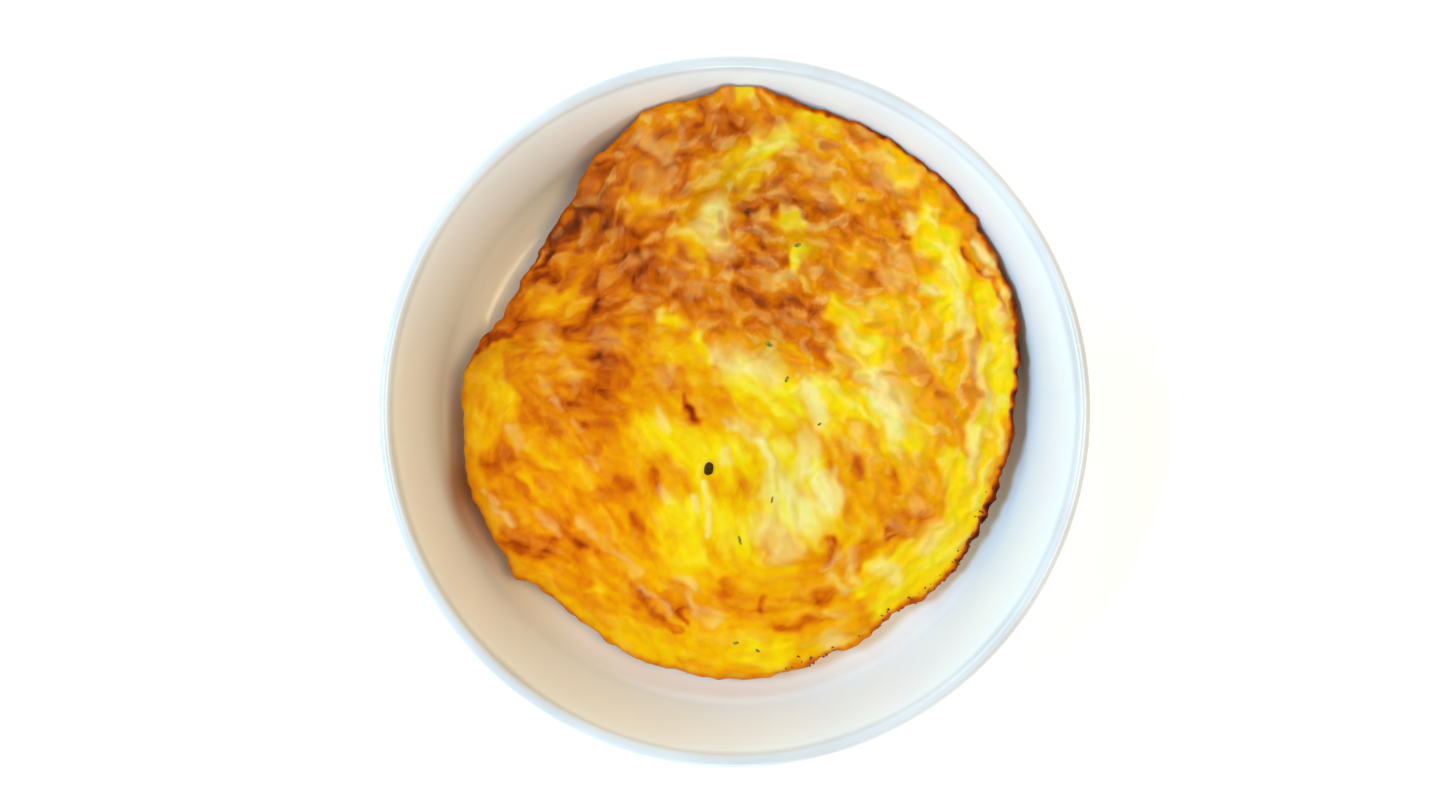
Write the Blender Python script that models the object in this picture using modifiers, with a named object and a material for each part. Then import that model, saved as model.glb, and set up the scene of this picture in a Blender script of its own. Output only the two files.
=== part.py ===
"""A browned, folded fried egg lying in a deep, round, white glazed dish.

Two solids: `dish` is a turned bowl on a low foot ring, and `fried_egg` is the soft round of
egg that fills most of it.  The egg lies on the dish's floor and leans up its far wall, so the
whole model stands on the foot ring at z = 0, with the dish's axis on Z.

Sizes are in millimetres and become metres where the meshes are made.
"""
import math

import bmesh
import bpy
import numpy as np

MM = 0.001
OBJECT_NAME = "fried_egg_in_dish"

# ---------------------------------------------------------------- driving dimensions (mm)
# Dish
DISH_DIAMETER = 170.0
DISH_HEIGHT = 40.0
WALL_THICKNESS = 3.2        # measured level, at the lip
WALL_LEAN = 17.0            # degrees that the wall opens outwards
FLOOR_HEIGHT = 5.6          # inner floor above the table
FLOOR_FILLET = 9.0          # inside, where the floor turns up into the wall
HEEL_FILLET = 8.0           # outside, where the wall turns in to the foot
BASE_HEIGHT = 1.8           # underside of the base above the table
FOOT_OUTER_RADIUS = 60.0
FOOT_WIDTH = 4.0
FOOT_EDGE = 0.5             # small bevel along the foot ring
DISH_STEPS = 72             # segments round the dish
FILLET_STEPS = 5

# Egg
EGG_CENTRE = (1.9, 6.1)     # middle of the egg, from the dish's axis
EGG_RADIUS = 69.2           # before its lobes
EGG_THICKNESS = 17.0
TOP_HEIGHT = 22.0           # top skin over the dish's axis
TOP_SLOPE = 0.075           # rise of the top skin towards +Y, where the egg leans on the wall
BROW_HEIGHT = 16.3          # widest line of the side, over the dish's axis
BROW_SLOPE = 0.11           # rise of that line towards +Y
CROWN = 1.8                 # the middle stands this much proud of the top skin's slope
CROWN_REACH = 38.0
EDGE_FULLNESS = 0.36        # 1 gives a round edge, 0 a square one
GAP = 0.4                   # between egg and dish, all over
EGG_SPOKES = 100
EGG_RINGS = 30

# Rise of the edge: direction and half-width in degrees, rise in mm.
EDGE_LIFTS = (
    (90.0, 11.0, 5.6),      # far tip, which rides up the wall
    (146.0, 24.0, -8.0),    # torn far left edge, which droops to the floor
    (325.0, 30.0, -4.0),    # near right edge
)

# Lobes of the outline: direction and half-width in degrees, push outwards in mm.
LOBES = (
    (90.0, 6.0, 4.4),       # far tip
    (106.0, 9.0, 2.5),
    (120.0, 6.0, -1.9),
    (82.0, 5.0, 0.6),
    (66.0, 16.0, 1.0),
    (38.0, 24.0, 1.4),      # far right shoulder
    (27.0, 7.0, -0.7),
    (358.0, 8.0, -1.8),     # flat stretch on the right
    (339.0, 9.0, -1.3),
    (322.0, 6.0, 0.3),
    (304.0, 6.0, -1.8),     # flat stretch at the near right
    (287.0, 5.0, -0.9),
    (262.0, 26.0, 3.8),     # full near side
    (259.0, 6.0, -0.8),
    (219.5, 3.0, 2.0),      # small corner at the near left
    (214.0, 12.0, 2.4),     # near left bulge
    (200.0, 8.0, 1.9),
)

# The far left side is torn nearly straight, and the lower layer of egg steps out beyond it.
TEAR_DISTANCE = 60.3        # from the egg's middle
TEAR_DIRECTION = 150.0      # degrees
TEAR_END = 168.5            # where the lower layer's shoulder begins
TEAR_END_WIDTH = 3.0
SHOULDER_DIP = 3.6          # the shoulder's corner is rounded off by this much
TEAR_NOTCH = (131.0, 2.6, -1.3)

# Folds of the top skin: route (x, y), valley depth, roll height, valley width and roll reach.
# The roll is the side to the right of the route's direction.
FOLDS = (
    # lower layer of egg, folded over the upper one
    (((-66, 15), (-55, 19), (-35, 23), (-20, 23), (-8, 20)), 1.7, 2.6, 2.4, 15.0),
    # long crease across the far third
    (((-39, 48), (-17, 45), (-2, 53), (8, 53), (24, 47), (40, 41)), 1.6, 1.5, 2.6, 12.0),
    # ruck that runs from the far tip to the left
    (((1, 79), (2, 69), (-6, 62), (-30, 51)), 1.4, 1.4, 2.6, 10.0),
    # groove inside the raised right edge
    (((60, -22), (65, 2), (64, 20), (59, 36), (48, 54)), 1.2, 0.8, 2.0, 5.0),
)

FOLD_FADE_MIDDLE = 0.85     # shares of a route
FOLD_FADE_LENGTH = 0.3

# Soft swells and hollows of the top skin: x, y, radius and height.
SWELLS = (
    (-46, -2, 20, 1.6),
    (-26, 33, 13, 1.3),
    (20, 34, 15, 1.5),
    (40, 12, 14, 1.1),
    (8, 2, 12, -1.5),
    (-12, -26, 16, 1.0),
    (34, -28, 17, 1.2),
    (14, -14, 11, -1.2),
    (4, -50, 17, 0.9),
    (-8, 62, 9, 1.0),
)


# ---------------------------------------------------------------- dish
def arc(centre, radius, start, end, steps):
    """Points (r, z) along a circular arc between two directions in degrees, ends included."""
    angles = np.radians(np.linspace(start, end, steps + 1))
    return [(centre[0] + radius * math.cos(a), centre[1] + radius * math.sin(a)) for a in angles]


def inner_wall_line(z):
    """Radius of the straight inner wall, drawn on past its fillet and its lip."""
    top_radius = DISH_DIAMETER / 2 - WALL_THICKNESS
    return top_radius - (DISH_HEIGHT - z) * math.tan(math.radians(WALL_LEAN))


def fillet_centre_radius():
    """Distance from the axis to the centre of the inner fillet."""
    lean = math.radians(WALL_LEAN)
    return inner_wall_line(FLOOR_HEIGHT + FLOOR_FILLET) - FLOOR_FILLET / math.cos(lean)


def dish_profile():
    """Closed section of the dish from the middle of its floor, over the lip, to its base."""
    lip_radius = WALL_THICKNESS / 2
    lip_centre = (DISH_DIAMETER / 2 - lip_radius, DISH_HEIGHT - lip_radius)
    fillet_centre = (fillet_centre_radius(), FLOOR_HEIGHT + FLOOR_FILLET)
    points = [(0.0, FLOOR_HEIGHT), (fillet_centre[0] / 2, FLOOR_HEIGHT)]
    points += arc(fillet_centre, FLOOR_FILLET, -90.0, -WALL_LEAN, FILLET_STEPS)
    points += arc(lip_centre, lip_radius, 180.0 - WALL_LEAN, 0.0, FILLET_STEPS + 1)
    # the outer wall is parallel to the inner one and turns in at the heel
    heel_z = BASE_HEIGHT + HEEL_FILLET
    outer_r = DISH_DIAMETER / 2 - (DISH_HEIGHT - lip_radius - heel_z) * math.tan(math.radians(WALL_LEAN))
    heel_centre = (outer_r - HEEL_FILLET / math.cos(math.radians(WALL_LEAN)), heel_z)
    points += arc(heel_centre, HEEL_FILLET, -WALL_LEAN, -90.0, FILLET_STEPS)
    points += [
        (FOOT_OUTER_RADIUS, BASE_HEIGHT),
        (FOOT_OUTER_RADIUS, FOOT_EDGE),
        (FOOT_OUTER_RADIUS - FOOT_EDGE, 0.0),
        (FOOT_OUTER_RADIUS - FOOT_WIDTH + FOOT_EDGE, 0.0),
        (FOOT_OUTER_RADIUS - FOOT_WIDTH, FOOT_EDGE),
        (FOOT_OUTER_RADIUS - FOOT_WIDTH, BASE_HEIGHT),
        (0.0, BASE_HEIGHT),
    ]
    return points


def make_dish(collection):
    """Turn the section round Z with a Screw modifier."""
    mesh = bpy.data.meshes.new("dish")
    bm = bmesh.new()
    corners = [bm.verts.new((r * MM, 0.0, z * MM)) for r, z in dish_profile()]
    for start, end in zip(corners[:-1], corners[1:]):
        bm.edges.new((start, end))
    bm.to_mesh(mesh)
    bm.free()
    dish = bpy.data.objects.new("dish", mesh)
    collection.objects.link(dish)
    turn = dish.modifiers.new("turn", "SCREW")
    turn.axis = "Z"
    turn.angle = math.tau
    turn.steps = DISH_STEPS
    turn.render_steps = DISH_STEPS
    turn.use_merge_vertices = True
    turn.merge_threshold = 0.00001
    turn.use_smooth_shade = True
    return dish


# ---------------------------------------------------------------- where the dish's hollow is
def hollow_radius(z):
    """Inner radius of the dish at height z, up to its lip."""
    below = np.clip((FLOOR_HEIGHT + FLOOR_FILLET - z) / FLOOR_FILLET, 0.0, 1.0)
    on_fillet = fillet_centre_radius() + FLOOR_FILLET * np.sqrt(1.0 - below ** 2)
    fillet_end = FLOOR_HEIGHT + FLOOR_FILLET * (1.0 - math.sin(math.radians(WALL_LEAN)))
    return np.where(z < fillet_end, on_fillet, inner_wall_line(z))


def hollow_height(r):
    """Height of the dish's inner surface at radius r."""
    lean = math.radians(WALL_LEAN)
    run = np.maximum(r - fillet_centre_radius(), 0.0)
    fillet_run = np.minimum(run, FLOOR_FILLET * math.cos(lean))
    fillet_rise = FLOOR_FILLET - np.sqrt(FLOOR_FILLET ** 2 - fillet_run ** 2)
    return FLOOR_HEIGHT + fillet_rise + (run - fillet_run) / math.tan(lean)


# ---------------------------------------------------------------- egg
def bump(offset, width):
    """Bell curve of height 1."""
    return np.exp(-((offset / width) ** 2))


def turn_between(angle, direction):
    """Signed difference of two directions in degrees, from -180 to 180."""
    return (angle - direction + 180.0) % 360.0 - 180.0


def smooth_step(edge, width, value):
    """0 below the edge, 1 above it, with a soft change over the width."""
    t = np.clip((value - edge) / width + 0.5, 0.0, 1.0)
    return t * t * (3.0 - 2.0 * t)


def soft_min(a, b, softness):
    """Smaller of two values, with the corner between them rounded."""
    blend = np.clip(0.5 + 0.5 * (b - a) / softness, 0.0, 1.0)
    return b + (a - b) * blend - softness * blend * (1.0 - blend)


def outline_radius(angle):
    """Distance from the egg's middle to its edge in a direction in degrees."""
    radius = EGG_RADIUS + sum(push * bump(turn_between(angle, at), width) for at, width, push in LOBES)
    at, width, push = TEAR_NOTCH
    away = np.minimum(np.abs(turn_between(angle, TEAR_DIRECTION)), 70.0)
    tear = TEAR_DISTANCE / np.cos(np.radians(away))
    torn = soft_min(radius, tear, 3.0) + push * bump(turn_between(angle, at), width)
    whole = radius - SHOULDER_DIP * bump(turn_between(angle, TEAR_END), 6.0)
    lower_layer = smooth_step(TEAR_END, TEAR_END_WIDTH, angle % 360.0)
    return torn + (whole - torn) * lower_layer


def follow_route(x, y, route):
    """Signed distance to a route, positive to the right of its direction, and the share of
    its runs passed at the nearest point."""
    best = np.full(x.shape, np.inf)
    signed = np.zeros(x.shape)
    passed = np.zeros(x.shape)
    for run, ((x0, y0), (x1, y1)) in enumerate(zip(route[:-1], route[1:])):
        dx, dy = x1 - x0, y1 - y0
        along = np.clip(((x - x0) * dx + (y - y0) * dy) / (dx * dx + dy * dy), 0.0, 1.0)
        away = np.hypot(x - x0 - along * dx, y - y0 - along * dy)
        side = np.sign((x - x0) * dy - (y - y0) * dx)
        closer = away < best
        best = np.where(closer, away, best)
        signed = np.where(closer, side * away, signed)
        passed = np.where(closer, (run + along) / (len(route) - 1), passed)
    return signed, passed


def fold_height(x, y, route, valley, roll, width, reach):
    """Height change beside a fold: a narrow valley, and a roll that dies away on one side.
    Both fade out over the last part of the route."""
    off, passed = follow_route(x, y, route)
    rolled = np.exp(-np.maximum(off, 0.0) / reach) * smooth_step(width, 2.0 * width, off)
    fade = 1.0 - smooth_step(FOLD_FADE_MIDDLE, FOLD_FADE_LENGTH, passed)
    return fade * (roll * rolled - valley * bump(off, width))


def top_skin(x, y):
    """Height of the egg's top, away from its rounded edge."""
    height = TOP_HEIGHT + TOP_SLOPE * y + CROWN * bump(np.hypot(x, y), CROWN_REACH)
    height = height + sum(rise * bump(np.hypot(x - cx, y - cy), size) for cx, cy, size, rise in SWELLS)
    return height + sum(fold_height(x, y, *fold) for fold in FOLDS)


def shape_egg(unit):
    """Turn points of a unit sphere into the egg's surface, in millimetres."""
    angle = np.degrees(np.arctan2(unit[:, 1], unit[:, 0]))
    spread = np.hypot(unit[:, 0], unit[:, 1])
    reach = outline_radius(angle) * spread
    x = EGG_CENTRE[0] + reach * np.cos(np.radians(angle))
    y = EGG_CENTRE[1] + reach * np.sin(np.radians(angle))
    lift = sum(rise * bump(turn_between(angle, at), width) for at, width, rise in EDGE_LIFTS) * spread ** 4
    top = top_skin(x, y) + lift
    brow = BROW_HEIGHT + BROW_SLOPE * y + lift
    under = np.maximum(top - EGG_THICKNESS, hollow_height(np.hypot(x, y) + GAP) + GAP)
    under = np.minimum(under, brow)
    rounding = np.abs(unit[:, 2]) ** EDGE_FULLNESS
    z = np.where(unit[:, 2] > 0.0, brow + (top - brow) * rounding, brow + (under - brow) * rounding)
    # nothing reaches into the wall
    limit = hollow_radius(z) - 1.5 * GAP
    pull = np.minimum(1.0, limit / np.maximum(np.hypot(x, y), 1.0))
    return np.stack((x * pull, y * pull, z), axis=1)


def make_egg(collection):
    """Start from a sphere and give each of its points its place on the egg."""
    bm = bmesh.new()
    bmesh.ops.create_uvsphere(bm, u_segments=EGG_SPOKES, v_segments=EGG_RINGS, radius=1.0)
    unit = np.array([vert.co for vert in bm.verts])
    for vert, place in zip(bm.verts, shape_egg(unit)):
        vert.co = place * MM
    mesh = bpy.data.meshes.new("fried_egg")
    bm.to_mesh(mesh)
    bm.free()
    mesh.shade_smooth()
    egg = bpy.data.objects.new("fried_egg", mesh)
    collection.objects.link(egg)
    return egg


# ---------------------------------------------------------------- finishes and assembly
def finish(name, colour, roughness):
    """Plain coloured surface."""
    material = bpy.data.materials.new(name)
    material.use_nodes = True
    shader = material.node_tree.nodes["Principled BSDF"]
    shader.inputs["Base Color"].default_value = (*colour, 1.0)
    shader.inputs["Roughness"].default_value = roughness
    shader.inputs["Metallic"].default_value = 0.0
    return material


def clear_scene():
    """Remove whatever the scene holds."""
    for item in list(bpy.data.objects):
        bpy.data.objects.remove(item, do_unlink=True)


def main():
    clear_scene()
    collection = bpy.data.collections.new(OBJECT_NAME)
    bpy.context.scene.collection.children.link(collection)
    dish = make_dish(collection)
    dish.data.materials.append(finish("white_glaze", (0.86, 0.87, 0.87), 0.12))
    egg = make_egg(collection)
    egg.data.materials.append(finish("browned_egg", (0.86, 0.42, 0.03), 0.45))


main()
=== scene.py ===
import math
from types import SimpleNamespace

import bpy
import numpy as np
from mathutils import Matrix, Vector
from mathutils.bvhtree import BVHTree


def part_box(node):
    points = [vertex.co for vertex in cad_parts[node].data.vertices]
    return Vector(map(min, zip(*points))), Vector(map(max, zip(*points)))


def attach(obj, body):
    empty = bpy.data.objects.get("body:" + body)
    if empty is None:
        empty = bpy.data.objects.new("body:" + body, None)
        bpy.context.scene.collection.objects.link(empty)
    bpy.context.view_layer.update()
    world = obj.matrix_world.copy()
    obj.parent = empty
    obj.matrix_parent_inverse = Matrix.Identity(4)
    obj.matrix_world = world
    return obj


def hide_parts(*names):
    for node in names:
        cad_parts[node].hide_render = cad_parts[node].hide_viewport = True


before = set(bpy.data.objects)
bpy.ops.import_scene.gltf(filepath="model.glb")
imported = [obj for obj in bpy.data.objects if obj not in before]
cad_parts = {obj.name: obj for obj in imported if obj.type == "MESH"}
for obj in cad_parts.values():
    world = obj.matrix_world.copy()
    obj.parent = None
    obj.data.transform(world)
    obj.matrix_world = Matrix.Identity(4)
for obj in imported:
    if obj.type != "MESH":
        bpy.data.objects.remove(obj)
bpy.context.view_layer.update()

MM = 0.001
BODY = "root"

# ================================================================ sizes, in millimetres
# The dish, whose width and height come from the frame.
DISH_LOW, DISH_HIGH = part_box("dish")
DISH_RADIUS = (DISH_HIGH[0] - DISH_LOW[0]) / 2 / MM
DISH_HEIGHT = (DISH_HIGH[2] - DISH_LOW[2]) / MM
WALL_THICKNESS = 3.2
WALL_LEAN = math.radians(17.0)
FLOOR_HEIGHT = 5.6
FLOOR_FILLET = 9.0
HEEL_FILLET = 8.0
BASE_HEIGHT = 1.8
FOOT_OUTER_RADIUS = 60.0
FOOT_WIDTH = 4.0
FOOT_EDGE = 0.5
FOOT_FLARE = 0.4            # how much wider the foot is where it meets the base
DISH_SEGMENTS = 240
ARC_STEPS = 12
WALL_SHARES = (0.2, 0.4, 0.6, 0.8)
FLOOR_RINGS = (8.0, 20.0, 34.0, 46.0, 55.0)
BASE_RINGS = (48.0, 34.0, 20.0, 8.0)
GLAZE_WAVE = 0.06           # unevenness of the thrown and glazed wall
GLAZE_WAVE_START = 20.0     # height over which it grows to its full strength

# The egg: the same form as its solid, with finer relief on it. Its brow is the line round its
# side where it is widest.
EGG_CENTRE = (1.9, 6.1)
EGG_RADIUS = 69.2
EGG_THICKNESS = 17.0
TOP_HEIGHT = 22.0
TOP_SLOPE = 0.075
BROW_HEIGHT = 16.3
BROW_SLOPE = 0.11
CROWN = 1.8
CROWN_REACH = 38.0
EDGE_FULLNESS = 0.36        # power that rounds the edge, less for a squarer one
GAP = 0.4                   # between the egg and the dish

# Stretches of the edge that lie higher or lower: direction in degrees, half-width, rise.
EDGE_LIFTS = (
    (90.0, 11.0, 5.6),
    (146.0, 24.0, -8.0),
    (325.0, 30.0, -4.0),
)

# Bulges and dents of the outline: direction, half-width, push outwards.
LOBES = (
    (90.0, 6.0, 4.4),
    (106.0, 9.0, 2.5),
    (120.0, 6.0, -1.9),
    (82.0, 5.0, 0.6),
    (66.0, 16.0, 1.0),
    (38.0, 24.0, 1.4),
    (27.0, 7.0, -0.7),
    (358.0, 8.0, -1.8),
    (339.0, 9.0, -1.3),
    (322.0, 6.0, 0.3),
    (304.0, 6.0, -1.8),
    (287.0, 5.0, -0.9),
    (262.0, 26.0, 3.8),
    (259.0, 6.0, -0.8),
    (219.5, 3.0, 2.0),
    (214.0, 12.0, 2.4),
    (200.0, 8.0, 1.9),
)
# The torn edge at the upper left: a straight cut across the outline that ends at the shoulder of
# the layer below it.
TEAR_DISTANCE = 60.3
TEAR_DIRECTION = 150.0
TEAR_REACH = 70.0
TEAR_CORNER = 3.0
TEAR_END = 168.5
TEAR_END_WIDTH = 3.0
TEAR_NOTCH = (131.0, 2.6, -1.3)
SHOULDER_DIP = 3.6
SHOULDER_DIP_WIDTH = 6.0

# Folds: route, valley depth, roll height, valley width, reach of the roll.
FOLDS = (
    (((-66, 15), (-55, 19), (-35, 23), (-20, 23), (-8, 20)), 1.7, 2.6, 2.4, 15.0),
    (((-39, 48), (-17, 45), (-2, 53), (8, 53), (24, 47), (40, 41)), 1.6, 1.5, 2.6, 12.0),
    (((1, 79), (2, 69), (-6, 62), (-30, 51)), 1.4, 1.4, 2.6, 10.0),
    (((60, -22), (65, 2), (64, 20), (59, 36), (48, 54)), 1.2, 0.8, 2.0, 5.0),
)
FOLD_FADE_MIDDLE = 0.85     # shares of a fold's route over which it dies away
FOLD_FADE_LENGTH = 0.3

# Broad swellings and hollows of the top: place, reach, rise.
SWELLS = (
    (-46, -2, 20, 1.6),
    (-26, 33, 13, 1.3),
    (20, 34, 15, 1.5),
    (40, 12, 14, 1.1),
    (8, 2, 12, -1.5),
    (-12, -26, 16, 1.0),
    (34, -28, 17, 1.2),
    (14, -14, 11, -1.2),
    (4, -50, 17, 0.9),
    (-8, 62, 9, 1.0),
)

# Thin raised strands and lips of set egg: route, rise, half-width.
STRANDS = (
    (((56, 45), (60, 40), (65, 33), (69, 25)), 0.9, 0.8),
    (((56, 27), (61, 14), (62, 2), (59, -12)), 0.5, 1.1),
    (((-44, 3), (-39, -4), (-35, -10)), 0.3, 0.8),
    (((-33, -14), (-27, -24), (-21, -34), (-14, -46)), 0.35, 0.8),
    (((-34, -29), (-27, -37), (-20, -46)), 0.35, 0.7),
    (((-54, -14), (-46, -21), (-40, -29)), 0.35, 0.7),
    (((-48, -34), (-38, -42), (-30, -50)), 0.3, 0.8),
    (((-24, -12), (-19, -20), (-15, -30)), 0.3, 0.7),
    (((24, 15), (33, 9), (43, 3)), 0.5, 0.9),
    (((8, 26), (16, 22), (26, 15)), 0.4, 0.8),
    (((-40, 13), (-38, 6)), 0.4, 0.8),
    (((6, -5), (10, -12), (10, -20)), 0.45, 0.7),
    (((36, -4), (43, -16)), 0.3, 0.8),
    (((-62, -19), (-57, -25)), 0.5, 0.7),
    (((34, -42), (44, -36), (55, -22)), 0.4, 0.8),
    (((18, 55), (22, 50)), 0.4, 0.9),
)

# Rows of the egg's mesh.
TOP_CELLS = 128             # cells from the middle of the top to its rounded edge
TOP_SPREAD = 0.957          # share of the radius that those cells cover
SIDE_ROWS = 10              # rows from there down to the brow
# Rows of the underside, as shares of the way down from the brow.
UNDER_SHARES = (0.12, 0.25, 0.38, 0.5, 0.62, 0.74, 0.84, 0.92, 0.97, 0.99)

# Noise on the skin. Streaks: length along the grain, what the drawn-out lower part adds to it,
# steps to each side, width, seed.
WIDE_STREAKS = (2.5, 4.5, 4, 3.6, 71)
THIN_STREAKS = (1.2, 4.2, 4, 1.9, 51)
CURDS = (1.5, 4.0, 4, 3.2, 55)
CURD_GRAINS = (0.8, 2.4, 3, 2.0, 59)
# Patches: width, length in widths, what the drawn-out lower part adds to it, seed.
BIG_PATCHES = (5.6, 1.1, 0.5, 91)
SMALL_PATCHES = (2.8, 1.1, 0.6, 93)
PATCH_SHARPNESS = 11.0      # how quickly one patch of skin gives way to the next
# Rows and columns of the tables of chance values, which repeat out of sight.
NOISE_TABLE = (97, 89)
PATCH_TABLE = (61, 67)

# Widths of the patterns in the finishes.
GLAZE_CLOUD = 36.0
GLAZE_RIPPLE = 9.1
BROWNING_GRAIN = 1.11
SKIN_WRINKLE = 0.77
CRUST_GRAIN = 1.43
LEAF_VEIN = 0.667
ACRYLIC_CLOUD = 16.7

# ================================================================ browning
# How far each tone has browned, from 0 for set, pale egg to 1 for charred.
LEMON, GOLD, AMBER, ORANGE, RUST, BROWN, CHAR = 0.15, 0.31, 0.45, 0.56, 0.68, 0.78, 0.90
PLAIN_TONE = 0.45
STROKE_EDGE = 0.85          # share of a stroke's radius at which half of its strength is left
WIDE_STROKE = 3.0           # radius above which its edge is softer
WIDE_SOFTNESS = 1.2
NARROW_SOFTNESS = 1.1

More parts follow.
